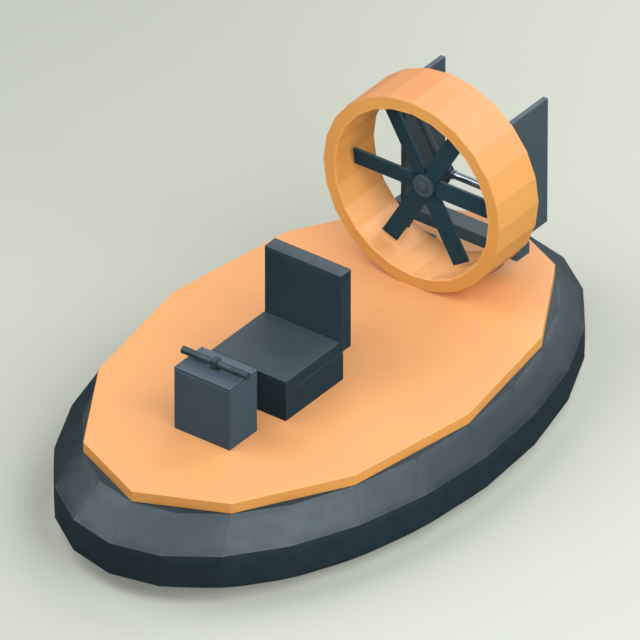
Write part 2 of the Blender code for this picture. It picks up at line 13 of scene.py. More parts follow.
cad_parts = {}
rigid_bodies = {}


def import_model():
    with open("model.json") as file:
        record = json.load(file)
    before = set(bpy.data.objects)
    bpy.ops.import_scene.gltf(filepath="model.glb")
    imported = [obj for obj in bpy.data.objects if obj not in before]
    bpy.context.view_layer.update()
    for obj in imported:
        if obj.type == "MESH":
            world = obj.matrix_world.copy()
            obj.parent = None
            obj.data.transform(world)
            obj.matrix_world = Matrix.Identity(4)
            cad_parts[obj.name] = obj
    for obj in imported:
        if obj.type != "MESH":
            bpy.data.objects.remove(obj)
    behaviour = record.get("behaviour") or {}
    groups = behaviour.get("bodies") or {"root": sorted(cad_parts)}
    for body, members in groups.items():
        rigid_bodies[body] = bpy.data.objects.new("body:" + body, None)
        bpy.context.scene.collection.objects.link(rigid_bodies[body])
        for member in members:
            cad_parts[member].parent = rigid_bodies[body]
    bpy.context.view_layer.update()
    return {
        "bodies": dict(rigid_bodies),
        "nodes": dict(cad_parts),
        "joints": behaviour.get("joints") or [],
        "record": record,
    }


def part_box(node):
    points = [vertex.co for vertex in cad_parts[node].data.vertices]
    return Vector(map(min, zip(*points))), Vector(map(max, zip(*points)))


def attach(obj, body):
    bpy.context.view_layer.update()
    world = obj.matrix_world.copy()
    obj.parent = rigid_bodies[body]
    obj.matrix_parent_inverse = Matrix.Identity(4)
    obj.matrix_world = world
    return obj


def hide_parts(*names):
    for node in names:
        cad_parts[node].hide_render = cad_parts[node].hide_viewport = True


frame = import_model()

bl_info = {
    "name": "Hovercraft dressing",
    "version": (1, 0, 0),
    "blender": (4, 5, 0),
    "location": "3D View > Sidebar > Hovercraft",
    "description": "Finishes, soft goods, trim and studio for a single-seat hovercraft",
    "category": "Object",
}

# The camera looks from far away with a long lens, as the photograph is a parallel view.
AIM = Vector((0.0, -0.0033, 0.7304))
TOWARDS_CAMERA = Vector((0.50090, -0.66743, 0.55104))
VIEW_WIDTH = 3.3667
SENSOR = 36.0

# The duct's axis runs along Y at this height. Its inner and outer corners lie at these radii.
DUCT_Z = 1.098
DUCT_INNER = 0.503
DUCT_OUTER = 0.5816
DUCT_FACETS = 24

# The ways that a fitting faces.
FORWARD, ASTERN = (0, -1, 0), (0, 1, 0)


# Settings.


def colour(name, description, default):
    """A colour that a user would change."""
    return FloatVectorProperty(name=name, description=description, subtype="COLOR", size=3,
                               min=0.0, max=1.0, default=default)


class CraftColours(bpy.types.PropertyGroup):
    """Colours of the finishes."""

    gelcoat: colour("Gelcoat", "Deck edge", (0.84, 0.353, 0.070))
    # Painted light: the deck is painted paler where it faces the sky, standing in for the light on its top.
    top_painted_light: colour("Sun-faded gelcoat", "Deck, as it faces the sky", (0.88, 0.405, 0.145))
    # Painted shade: the duct is painted darker than the deck's gelcoat, against the stronger lamp light it
    # gets; its top is painted paler, as painted light.
    duct: colour("Duct", "Duct and its feet", (0.755, 0.350, 0.076))
    duct_top_painted_light: colour("Sun-faded duct", "Duct where it faces the sky", (0.82, 0.338, 0.112))
    # Painted light: the inside of the duct is painted lighter than its outside, where the duct's own walls
    # shade it.
    duct_inside_painted_light: colour("Duct lining", "Walls inside the duct", (0.90, 0.43, 0.098))
    duct_inside_top_painted_light: colour("Sun-faded lining", "Inside of the duct where it faces the sky", (0.92, 0.44, 0.155))
    skirt: colour("Skirt", "Coated cloth of the bag skirt", (0.0065, 0.0245, 0.0355))
    vinyl: colour("Vinyl", "Seat box, cushion, backrest pad and shell", (0.0075, 0.0275, 0.0405))
    slate: colour("Slate moulding", "Console", (0.038, 0.074, 0.105))
    enamel: colour("Rudder enamel", "Rudders, beam, brackets and cleats", (0.055, 0.088, 0.108))
    # Painted light: the beam's front, deep in the duct's shade, is painted lighter and bluer than the rest of
    # its enamel.
    beam_front_painted_light: colour("Shaded enamel", "Front of the beam, which the sun never reaches", (0.058, 0.125, 0.180))
    hub: colour("Hub enamel", "Hub and motor", (0.048, 0.083, 0.109))
    bar: colour("Bar enamel", "Steering stem, handlebar and lever", (0.013, 0.034, 0.047))
    blade: colour("Blades", "Fan blades", (0.0115, 0.046, 0.067))


def length(name, description, default):
    """A length that a user would change."""
    return FloatProperty(name=name, description=description, unit="LENGTH", min=0.0, default=default)


class CraftSizes(bpy.types.PropertyGroup):
    """Sizes of the trim."""

    tape_width: length("Tape width", "Width of the tape over each fold of the skirt", 0.026)
    tape_thickness: length("Tape thickness", "Thickness of the tape over each fold", 0.0008)
    pad_edge: length("Pad edge", "Radius of the edges of the cushion and the backrest pad", 0.0045)
    piping: length("Piping", "Radius of the piping round the cushion and the backrest pad", 0.0019)
    stitch: length("Stitch", "Length of a stitch on the seat", 0.0045)
    stitch_pitch: length("Stitch pitch", "From one stitch on the seat to the next", 0.0075)
    hem_height: length("Hem height", "How high the welded hem reaches round the skirt's foot", 0.030)
    fin_reach: length("Fin reach", "How far the motor's cooling fins stand out", 0.008)


class StudioSettings(bpy.types.PropertyGroup):
    """Camera, floor and lights."""

    lens: FloatProperty(name="Lens", description="Focal length in millimetres", default=1500.0, min=50.0)
    floor: colour("Floor", "Pale studio floor", (0.570, 0.598, 0.523))
    horizon: colour("Horizon", "What is seen behind the floor", (0.62, 0.65, 0.57))
    sky: FloatProperty(name="Sky", description="Strength of the even light from all round", default=0.80,
                       min=0.0)


# Finishes.

# The dark finishes reflect a little cooler than the light that falls on them.
COOL_GLOSS = (0.78, 0.92, 1.0, 1.0)
DUST = (0.55, 0.57, 0.55, 1.0)
SPLASH = (0.06, 0.075, 0.075, 1.0)

# The floor glows by itself from the first distance, and as brightly as the horizon from the second.
FLOOR_GLOW = (4.5, 12.0)
# It glows faintly beside the skirt too, where the photograph's shadow is shallow. Counted in half the
# foot's width and length: where the glow ends, where it is full, and its strength at both.
FOOT_HALVES = (1.0, 1.67)
FOOT_GLOW = (1.13, 1.02, 0.0, 0.26)


class Finish:
    """The node tree of one finish, on Object coordinates in metres."""

    def __init__(self, **sockets):
        self.material = bpy.data.materials.new("craft")
        self.material.use_nodes = True
        self.tree = self.material.node_tree
        self.shader = self.tree.nodes["Principled BSDF"]
        self.place = self.add("TexCoord", output="Object")
        for socket, value in sockets.items():
            self.set(socket.replace("_", " "), value)

    def give(self, node, socket, value):
        """Link an output to a node's socket, or set the socket's value."""
        if isinstance(value, bpy.types.NodeSocket):
            self.tree.links.new(value, node.inputs[socket])
        else:
            node.inputs[socket].default_value = value

    def set(self, socket, value):
        """Link or set a socket of the shader itself."""
        self.give(self.shader, socket, value)

    def add(self, kind, *inputs, output=0, **settings):
        """Add a node with (socket, value or output to link) inputs, and return one of its outputs."""
        node = self.tree.nodes.new("ShaderNode" + kind)
        for key, value in settings.items():
            setattr(node, key, value)
        for socket, value in inputs:
            self.give(node, socket, value)
        return node.outputs[output]

    def noise(self, scale, detail, stretch=None):
        """Noise, stretched along its axes if need be."""
        place = self.add("Mapping", ("Vector", self.place), ("Scale", stretch)) if stretch else self.place
        return self.add("TexNoise", ("Vector", place), ("Scale", scale), ("Detail", detail))

    def cells(self, scale, feature="F1"):
        return self.add("TexVoronoi", ("Vector", self.place), ("Scale", scale), feature=feature)

    def spread(self, value, low, high, to_low=0.0, to_high=1.0):
        """Stretch a value from one range to another, and clamp it."""
        return self.add("MapRange", ("Value", value), ("From Min", low), ("From Max", high),
                        ("To Min", to_low), ("To Max", to_high))

    def clouds(self, scale, detail, half, low=0.0, high=1.0):
        """Noise from half a range under its middle to half a range over it, as low to high."""
        return self.spread(self.noise(scale, detail), 0.5 - half, 0.5 + half, low, high)

    def maths(self, operation, first, second):
        return self.add("Math", (0, first), (1, second), operation=operation)

    def mix(self, share, first, second):
        """Mix two colours by a share."""
        return self.add("Mix", (0, share), (6, first), (7, second), output=2, data_type="RGBA")

    def bump(self, height, depth, strength, *under):
        """Raise the surface by height times depth, over another bump if there is one."""
        over = [("Normal", bump) for bump in under]
        return self.add("Bump", ("Height", height), ("Distance", depth), ("Strength", strength), *over)

    def facing(self, axis, low, high, most=1.0):
        """How far a face looks along an axis, from 0 at low to most at high."""
        along = self.add("SeparateXYZ", (0, self.add("TexCoord", output="Normal")), output=axis)
        return self.spread(along, low, high, 0.0, most)

    def distance(self, stretch, height=0.0):
        """How far a point lies from a height over the origin, counted in stretched axes."""
        spot = self.add("Mapping", ("Vector", self.place), ("Location", (0.0, 0.0, -height)),
                        ("Scale", stretch))
        return self.add("VectorMath", (0, spot), output="Value", operation="LENGTH")

    def height(self, none, full):
        """1 at the height of full, 0 at the height of none."""
        return self.spread(self.add("SeparateXYZ", (0, self.place), output="Z"), none, full)

    def threads(self, scale, direction):
        """Fine even ridges across one axis."""
        return self.add("TexWave", ("Vector", self.place), ("Scale", scale / math.tau), output="Fac",
                        bands_direction=direction)

    def edges(self, radius):
        """1 along sharp edges, broken up by noise."""
        rounded = self.add("Bevel", ("Radius", radius), samples=4)
        flat = self.add("NewGeometry", output="Normal")
        same = self.add("VectorMath", (0, rounded), (1, flat), output="Value", operation="DOT_PRODUCT")
        broken = self.spread(self.noise(60.0, 4.0), 0.42, 0.62)
        return self.maths("MULTIPLY", self.spread(same, 0.99, 0.90), broken)


def shade(rgb, factor=1.0):
    """A colour made lighter or darker, as RGBA."""
    return (*(min(1.0, c * factor) for c in rgb), 1.0)


def gelcoat(rgb, top_painted_light, duct_inside_painted_light=None):
    """Satin orange gelcoat: slight orange peel, faint clouding, scuffed edges, and painted light: paler where
    it faces the sky.

    The third argument holds the two colours that the inside of the duct has instead, for walls and tops:
    painted light, lighter than the outside, against the shade of the duct's walls.
    """
    f = Finish(Specular_IOR_Level=0.8)
    # Painted light: faces that look up take the paler top colour.
    up = f.facing("Z", 0.15, 0.85)
    tone = f.mix(up, shade(rgb), shade(top_painted_light))
    if duct_inside_painted_light:
        # Painted light: inside the duct the colours turn lighter, against the shade of its walls.
        walls, tops = duct_inside_painted_light
        inside = f.spread(f.distance((1.0, 0.0, 1.0), DUCT_Z), DUCT_INNER + 0.008, DUCT_INNER + 0.004)
        tone = f.mix(inside, tone, f.mix(up, shade(walls), shade(tops)))
    factor = f.clouds(2.6, 4.0, 0.18, 0.975, 1.02)
    base = f.add("VectorMath", (0, tone), ("Scale", factor), operation="SCALE")
    scuffs = f.spread(f.noise(38.0, 6.0, (1.0, 0.25, 1.0)), 0.60, 0.72, 0.0, 0.10)
    base = f.mix(scuffs, base, shade(top_painted_light, 1.12))
    f.set("Base Color", f.mix(f.edges(0.003), base, shade(top_painted_light, 1.08)))
    f.set("Roughness", f.clouds(9.0, 5.0, 0.2, 0.44, 0.56))
    peel = f.bump(f.noise(260.0, 2.0), 0.00035, 0.5)
    f.set("Normal", f.bump(f.noise(3.1, 2.0), 0.0012, 0.35, peel))
    return f.material


def moulding(rgb, roughness, specular=1.0, ior=1.5, worn=2.0, bow=None, dust=0.0):
    """Satin plastic or enamel with a fine grain and worn edges.

    bow is the colour of its face to the bow, if another: painted light, lighter and bluer, where that face
    lies in shade; dust is the share of dust on its top.
    """
    f = Finish(Specular_IOR_Level=specular, IOR=ior, Specular_Tint=COOL_GLOSS)
    base = f.mix(f.clouds(5.0, 4.0, 0.18), shade(rgb, 0.94), shade(rgb, 1.06))
    if bow:
        # Painted light: the face to the bow takes its own lighter colour.
        base = f.mix(f.facing("Y", -0.5, -0.9), base, shade(bow))
    if dust:
        base = f.mix(f.facing("Z", 0.3, 0.9, dust), base, DUST)
    f.set("Base Color", f.mix(f.edges(0.0025), base, shade(rgb, worn)))
    f.set("Roughness", f.clouds(14.0, 5.0, 0.2, roughness - 0.05, roughness + 0.06))
    f.set("Normal", f.bump(f.cells(420.0), 0.0004, 0.35))
    return f.material


def cloth(rgb):
    """Coated nylon cloth: a close square weave, soft wrinkles, and splash marks towards the ground."""
    f = Finish(Specular_IOR_Level=1.0, IOR=1.55, Specular_Tint=COOL_GLOSS)
    base = f.mix(f.clouds(4.0, 5.0, 0.18), shade(rgb, 0.94), shade(rgb, 1.07))
    marks = f.spread(f.noise(22.0, 6.0), 0.52, 0.72, 0.0, 0.30)
    base = f.mix(f.maths("MULTIPLY", marks, f.height(0.16, 0.0)), base, SPLASH)
    # Painted shade: faces that look up are painted darker than the walls, tempering the lamps' light on the
    # upper slope.
    f.set("Base Color", f.mix(f.facing("Z", 0.2, 0.7), base, shade(rgb, 0.62)))
    f.set("Roughness", f.clouds(11.0, 4.0, 0.2, 0.47, 0.57))
    weave = f.bump(f.maths("MAXIMUM", f.threads(900.0, "X"), f.threads(900.0, "Z")), 0.00035, 0.30)
    f.set("Normal", f.bump(f.noise(16.0, 4.0, (1.0, 1.0, 0.5)), 0.003, 0.3, weave))
    return f.material


def vinyl(rgb):
    """Grained marine vinyl: pebbled grain, soft creases and a little dust on top."""
    f = Finish(Specular_IOR_Level=0.85, IOR=1.6, Specular_Tint=COOL_GLOSS)
    base = f.mix(f.clouds(6.0, 4.0, 0.18), shade(rgb, 0.93), shade(rgb, 1.07))
    f.set("Base Color", f.mix(f.facing("Z", 0.3, 0.9, 0.048), base, DUST))
    f.set("Roughness", f.clouds(21.0, 5.0, 0.2, 0.45, 0.57))
    grain = f.bump(f.cells(480.0, "DISTANCE_TO_EDGE"), 0.0006, 0.4)
    f.set("Normal", f.bump(f.noise(60.0, 4.0), 0.0010, 0.25, grain))
    return f.material


def metal(rgb, roughness, metallic=1.0, marking=0.3):
    """Bare, plated or gloss-coated metal with fine turning marks."""
    f = Finish(Metallic=metallic)
    marks = f.noise(240.0, 3.0)
    f.set("Base Color", f.mix(f.clouds(12.0, 4.0, 0.2), shade(rgb, 0.9), shade(rgb, 1.05)))
    f.set("Roughness", f.spread(marks, 0.3, 0.7, roughness - 0.2 * marking, roughness + 0.27 * marking))
    f.set("Normal", f.bump(marks, 0.0002, marking))
    return f.material


def floor_paint(rgb, horizon):
    """Matt pale floor with a barely visible tone, brightened far from the lamps and beside the skirt."""
    f = Finish(Specular_IOR_Level=0.0, Roughness=1.0)
    f.set("Base Color", f.mix(f.clouds(0.9, 2.0, 0.2), shade(rgb, 0.995), shade(rgb, 1.005)))
    away = f.distance((1.0, 1.0, 1.0))
    beside = f.distance((1.0 / FOOT_HALVES[0], 1.0 / FOOT_HALVES[1], 1.0))
    f.set("Emission Color", shade(horizon))
    f.set("Emission Strength", f.maths("ADD", f.spread(away, *FLOOR_GLOW), f.spread(beside, *FOOT_GLOW)))
    return f.material


def make_finishes():
    """Make every finish, by the record's slot or by a name of its own."""
    c = bpy.context.scene.craft_colours
    finishes = {
        "orange_gelcoat": gelcoat(c.gelcoat, c.top_painted_light),
        "duct_gelcoat": gelcoat(c.duct, c.duct_top_painted_light, (c.duct_inside_painted_light, c.duct_inside_top_painted_light)),
        "hull_gelcoat": moulding((0.04, 0.05, 0.055), 0.5),
        "skirt_cloth": cloth(c.skirt),
        "skid_plastic": moulding((0.03, 0.03, 0.03), 0.5),
        "battery_case": moulding((0.05, 0.05, 0.055), 0.5),
        "seat_vinyl": vinyl(c.vinyl),
        "slate_moulding": moulding(c.slate, 0.5, ior=1.6, worn=1.35, dust=0.035),
        "bracket_steel": metal((0.30, 0.33, 0.35), 0.42),
        "bush_bronze": metal((0.30, 0.21, 0.10), 0.40),
        "bar_enamel": moulding(c.bar, 0.48),
        "grip_rubber": moulding(c.bar, 0.50),
        "blade_composite": moulding(c.blade, 0.45, specular=0.56, worn=1.5),
        "hub_enamel": moulding(c.hub, 0.4, specular=0.32, worn=1.6),
        "strut_enamel": metal((0.50, 0.58, 0.66), 0.14, metallic=0.9, marking=0.04),
        "strut_satin": moulding(c.hub, 0.5, specular=0.5, worn=1.4),
        "polished_steel": metal((0.66, 0.74, 0.82), 0.24),
        "rudder_enamel": moulding(c.enamel, 0.45, specular=0.95, worn=1.6),
        "beam_enamel": moulding(c.enamel, 0.45, specular=0.95, worn=1.6, bow=c.beam_front_painted_light),
    }
    for name, material in finishes.items():
        material.name = "craft_" + name
    return finishes


# Studio.


def aimed(name, data, back, location):
    """Put a lamp or the camera at a place, with its back to a direction."""
    holder = bpy.data.objects.new(name, data)
    bpy.context.scene.collection.objects.link(holder)
    holder.location = location
    holder.rotation_euler = back.to_track_quat("Z", "Y").to_euler()
    return holder


class HOVERCRAFT_OT_stage(bpy.types.Operator):
    """Lay the pale floor, set the soft lights and place the camera at the photograph's angle"""

    bl_idname = "hovercraft.stage"
    bl_label = "Stage"

    # Each round area light: name, direction from the craft and power in watts.
    LAMPS = (
        ("key_left", (-0.50, -0.40, 0.77), 358.0),
        ("quarter_right", (0.62, 0.46, 0.64), 90.0),
        ("front", (0.44, -0.58, 0.68), 183.0),
        ("low_away", (-0.54, 0.72, 0.44), 83.0),
        ("port_side", (0.75, -0.15, 0.64), 412.0),
        ("stern_side", (0.10, 0.80, 0.60), 347.0),
        ("low_left", (-0.72, -0.54, 0.44), 54.0),
    )
    LAMP_DISTANCE = 8.0
    LAMP_SIZE = 8.0

    def execute(self, context):
        scene, studio = context.scene, context.scene.studio
        floor = start("plane", size=90.0, location=(0, 0, -0.0005))
        floor.name = "studio_floor"
        floor.data.materials.append(floor_paint(studio.floor, studio.horizon))
        floor.visible_glossy = False
        self.make_sky(scene, studio)
        for name, direction, power in self.LAMPS:
            back = Vector(direction).normalized()
            lamp = bpy.data.lights.new(name, "AREA")
            lamp.shape, lamp.size, lamp.energy = "DISK", self.LAMP_SIZE, power
            aimed(name, lamp, back, back * self.LAMP_DISTANCE).visible_camera = False
        camera = bpy.data.cameras.new("camera")
        camera.lens, camera.sensor_width = studio.lens, SENSOR
        camera.clip_start, camera.clip_end = 1.0, 1000.0
        back = TOWARDS_CAMERA.normalized()
        scene.camera = aimed("camera", camera, back, AIM + back * studio.lens / SENSOR * VIEW_WIDTH)
        scene.view_settings.view_transform = "Standard"
        return {"FINISHED"}

    def make_sky(self, scene, studio):
        """A dim even light from above, which the camera sees as the floor's own tone."""
        world = bpy.data.worlds.new("studio")
        world.use_nodes = True
        tree = world.node_tree
        even = tree.nodes["Background"]
        seen, mixed = tree.nodes.new("ShaderNodeBackground"), tree.nodes.new("ShaderNodeMixShader")
        path = tree.nodes.new("ShaderNodeLightPath")
        even.inputs["Strength"].default_value = studio.sky
        seen.inputs["Color"].default_value = (*studio.horizon, 1.0)
        tree.links.new(path.outputs["Is Camera Ray"], mixed.inputs[0])
        tree.links.new(even.outputs[0], mixed.inputs[1])
        tree.links.new(seen.outputs[0], mixed.inputs[2])
        tree.links.new(mixed.outputs[0], tree.nodes["World Output"].inputs["Surface"])
        scene.world = world


# Modelling helpers.


def deselect():
    """Leave object mode with nothing selected."""
    if bpy.context.object and bpy.context.object.mode != "OBJECT":
        bpy.ops.object.mode_set(mode="OBJECT")
    bpy.ops.object.select_all(action="DESELECT")


def choose(*pieces):
    """Select these pieces alone, the first of them active."""
    deselect()
    for piece in pieces:
        piece.select_set(True)
    bpy.context.view_layer.objects.active = pieces[0]


def settle(*pieces):
    """Apply the place, turn and size of pieces to their meshes."""
    choose(*pieces)
    bpy.ops.object.transform_apply(location=True, rotation=True, scale=True)


def start(kind, **shape):
    """Add a primitive as the start of a piece, with its place in its mesh."""
    deselect()
    getattr(bpy.ops.mesh, "primitive_%s_add" % kind)(**shape)
    settle(bpy.context.object)
    return bpy.context.object


def block(low, high):
    """A box between two corners, to shape further."""
    low, high = Vector(low), Vector(high)
    return start("cube", size=1.0, location=(low + high) / 2, scale=high - low)


def at(x, y, z, axis=None):
    """A place whose Z axis points along axis."""
    turn = Vector(axis).to_track_quat("Z", "Y").to_matrix().to_4x4() if axis else Matrix()
    return Matrix.Translation((x, y, z)) @ turn


def corners(low, high, u_inset, v_inset):
    """The (u, v) corners of a rectangle, a little way in."""
    return [(u, v) for u in (low[0] + u_inset, high[0] - u_inset)
            for v in (low[1] + v_inset, high[1] - v_inset)]


def twinned(piece):
    """A copy of a piece with its own mesh."""
    twin = piece.copy()
    twin.data = piece.data.copy()
    bpy.context.scene.collection.objects.link(twin)
    return twin


def copied(piece, places):
    """Copy a finished piece to each place, and join the copies in its stead."""
    twins = []
    for matrix in places:
        twins.append(twinned(piece))
        twins[-1].matrix_world = matrix
    bpy.data.objects.remove(piece, do_unlink=True)
    settle(*twins)
    return joined(*twins)


def joined(*pieces):
    """Join settled pieces as one."""
    choose(*pieces)
    if len(pieces) > 1:
        bpy.ops.object.join()
    return bpy.context.object


def applied(piece, kind, **settings):
    """Add a modifier and apply it."""
    choose(piece)
    modifier = piece.modifiers.new("shape", kind)
    for key, value in settings.items():
        setattr(modifier, key, value)
    bpy.ops.object.modifier_apply(modifier=modifier.name)
    return piece


def eased(piece, width, segments=2):
    """Take the sharpness off a piece's edges."""
    return applied(piece, "BEVEL", width=width, segments=segments, limit_method="ANGLE")


def smoothed(piece, degrees=30.0):
    """Shade a piece smooth, but for edges sharper than an angle."""
    choose(piece)
    bpy.ops.object.shade_smooth_by_angle(angle=math.radians(degrees))
    return piece


def dress(name, piece, slot, *nodes, body="hull", finish=None):
    """Name a finished piece; give it its finish, the body that it rides on and the nodes that it replaces."""
    piece.name = piece.data.name = name
    piece.data.materials.clear()
    piece.data.materials.append(bpy.data.materials["craft_" + (finish or slot)])
    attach(piece, body)
    if nodes:
        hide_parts(*nodes)
    return piece


class Shaping:
    """Edit mode on one piece, left again at the end."""

    def __init__(self, piece):
        self.piece = piece

    def __enter__(self):
        choose(self.piece)
        bpy.ops.object.mode_set(mode="EDIT")
        bpy.ops.mesh.select_all(action="DESELECT")
        return self

    def __exit__(self, *problem):
        bpy.ops.object.mode_set(mode="OBJECT")

    def pick(self, kind, test):
        """Select the edges or faces that pass a test, and nothing else."""
        bpy.ops.mesh.select_mode(type={"edges": "EDGE", "faces": "FACE"}[kind])
        bpy.ops.mesh.select_all(action="DESELECT")
        shape = bmesh.from_edit_mesh(self.piece.data)
        chosen = [part for part in getattr(shape, kind) if test(part)]
        if not chosen:
            raise RuntimeError("no %s passed the test" % kind)
        for part in chosen:
            part.select_set(True)
        shape.select_flush_mode()
        bmesh.update_edit_mesh(self.piece.data)

    def all(self):
        bpy.ops.mesh.select_all(action="SELECT")

    def extrude(self, y=0.0, z=0.0):
        bpy.ops.mesh.extrude_region_move(TRANSFORM_OT_translate={"value": (0.0, y, z)})

    def resize(self, x, y, z, centre=(0.0, 0.0, 0.0)):
        bpy.ops.transform.resize(value=(x, y, z), center_override=centre)

    def outwards(self):
        """Merge doubles and turn every face outwards."""
        self.all()
        bpy.ops.mesh.remove_doubles(threshold=0.00001)
        bpy.ops.mesh.normals_make_consistent(inside=False)


def turned(profile, matrix=None, sides=32, smooth=30.0, unit=1.0):
    """A round piece drawn out of a disc along Z, through (height, radius) steps; unit scales the radii."""
    height, radius = profile[0]
    piece = start("circle", vertices=sides, radius=radius * unit, fill_type="NGON", location=(0, 0, height))
    with Shaping(piece) as shape:
        shape.all()
        for upper, wider in profile[1:]:
            shape.extrude(z=upper - height)
            if wider != radius:
                shape.resize(wider / radius, wider / radius, 1.0, (0, 0, upper))
            height, radius = upper, wider
        shape.outwards()
    if smooth:
        smoothed(piece, smooth)
    if matrix:
        piece.matrix_world = matrix
        settle(piece)
    return piece


CLOTH_FRAMES = 20


def inflate(piece, held, limits, pressure=4.0):
    """Let air into a closed cloth piece whose held points stay.

    limits caps how far a point moves along X, Y and Z.
    """
    scene = bpy.context.scene
    choose(piece)
    before = [vertex.co.copy() for vertex in piece.data.vertices]
    group = piece.vertex_groups.new(name="held")
    group.add([i for i, co in enumerate(before) if held(i, co)], 1.0, "REPLACE")
    air = piece.modifiers.new("air", "CLOTH")
    air.settings.use_pressure = True
    air.settings.uniform_pressure_force = pressure
    air.settings.vertex_group_mass = group.name
    air.settings.effector_weights.gravity = 0.0
    for frame in range(1, CLOTH_FRAMES + 1):
        scene.frame_set(frame)
    bpy.ops.object.modifier_apply(modifier=air.name)
    scene.frame_set(1)
    piece.vertex_groups.clear()
    for vertex, old in zip(piece.data.vertices, before):
        moved = vertex.co - old
        vertex.co = old + Vector([cap * math.tanh(way / cap) for way, cap in zip(moved, limits)])
    return piece


# Fasteners, to copy. The radii in their steps are shares of the head's.


def bolt(radius, height):
    """A six-sided bolt head on a washer."""
    washer = turned(((0.0, 1.35), (height * 0.18, 1.35), (height * 0.22, 1.2)), sides=16, unit=radius)
    head = turned(((height * 0.2, 1.0), (height * 0.85, 1.0), (height, 0.86)), sides=6, smooth=None,
                  unit=radius)
    return joined(washer, head)


def socket_screw(radius, height):
    """A round screw head with a socket in it."""
    return turned(((0.0, 1.0), (height * 0.75, 1.0), (height, 0.85), (height, 0.5), (height * 0.45, 0.5)),
                  sides=12, unit=radius)


def flush_screw(radius):
    """A countersunk screw head that lies nearly flush, with a socket in it."""
    return turned(((-0.0004, 1.0), (0.0004, 1.0), (0.0008, 0.86), (0.0008, 0.40), (0.0002, 0.36)),
                  sides=12, unit=radius)


def rivet(radius, height):
    """A domed rivet head."""
    return turned(((0.0, 1.0), (height * 0.45, 0.9), (height * 0.8, 0.62), (height, 0.25)), sides=10,
                  unit=radius)


def along(points, pitch):
    """Even steps along a line: (middle, direction) of each."""
    steps = []
    rest = pitch / 2
    for first, second in zip(points, points[1:]):
        first, second = Vector(first), Vector(second)
        run = (second - first).length
        while rest < run:
            steps.append((first.lerp(second, rest / run), (second - first).normalized()))
            rest += pitch
        rest -= run
    return steps


STITCH_THICK = 0.0009


def stitched(points, surface, pitch, reach):
    """A row of stitches that lie on a surface, along points."""
    half, thick = reach / 2, STITCH_THICK
    stitch = block((-half, -thick / 2, -thick / 3), (half, thick / 2, thick * 0.66))
    eased(stitch, thick * 0.35, 1)
    places = []
    for middle, direction in along(points, pitch):
        found, spot, normal, _ = surface.closest_point_on_mesh(middle)
        if not found:
            raise RuntimeError("no surface under a stitch")
        side = normal.cross(direction).normalized()
        turn = Matrix((side.cross(normal), side, normal)).transposed().to_4x4()
        places.append(Matrix.Translation(spot) @ turn)
    return copied(stitch, places)


class HOVERCRAFT_OT_finish(bpy.types.Operator):
    """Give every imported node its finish, by the record's slots"""

    bl_idname = "hovercraft.finish"
    bl_label = "Finishes"

    def execute(self, context):
        ready = make_finishes()
        for part in frame["record"]["subparts"]:
            node = frame["nodes"][part["node"]]
            node.data.materials.clear()
            node.data.materials.append(ready[part["material_slot"]])
        for node in ("duct_ring", "duct_foot_port", "duct_foot_starboard"):
            frame["nodes"][node].data.materials[0] = ready["duct_gelcoat"]
        frame["nodes"]["rudder_beam"].data.materials[0] = ready["beam_enamel"]
        # The photograph shows the upper strut duller than the one to port.
        frame["nodes"]["motor_strut_upper"].data.materials[0] = ready["strut_satin"]
        # The dark pieces show no orange reflection of the deck and the duct in the photograph.
        for node in ("deck", "duct_ring"):
            frame["nodes"][node].visible_glossy = False
        return {"FINISHED"}


# Skirt.

# Half width, half length and height of the skirt's rings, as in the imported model.
FOLDS = 24
SKIRT_TOP = 0.4577
SKIRT_RINGS = ((0.972, 1.643, SKIRT_TOP), (1.092, 1.837, 0.302), (1.092, 1.837, 0.111), (0.972, 1.643, 0.0),
               (0.930, 1.601, 0.0), (0.800, 1.470, 0.120), (0.800, 1.470, SKIRT_TOP))


def skirt_ring(rings):
    """Draw a ring of 24 corners through a profile, from the outside top down and in."""
    wide, long, height = rings[0]
    piece = start("circle", vertices=FOLDS, radius=1.0, location=(0, 0, height))
    with Shaping(piece) as shape:
        shape.pick("edges", lambda edge: True)
        shape.resize(wide, long, 1.0)
        for wider, longer, lower in rings[1:]:
            shape.extrude(z=lower - height)
            shape.resize(wider / wide, longer / long, 1.0)
            wide, long, height = wider, longer, lower
    return piece


def fold_edge(edge):
    """Whether an edge runs down the profile and not round the craft."""
    first, second = edge.verts
    across = first.co.x * second.co.y - first.co.y * second.co.x
    return abs(across) < 0.02


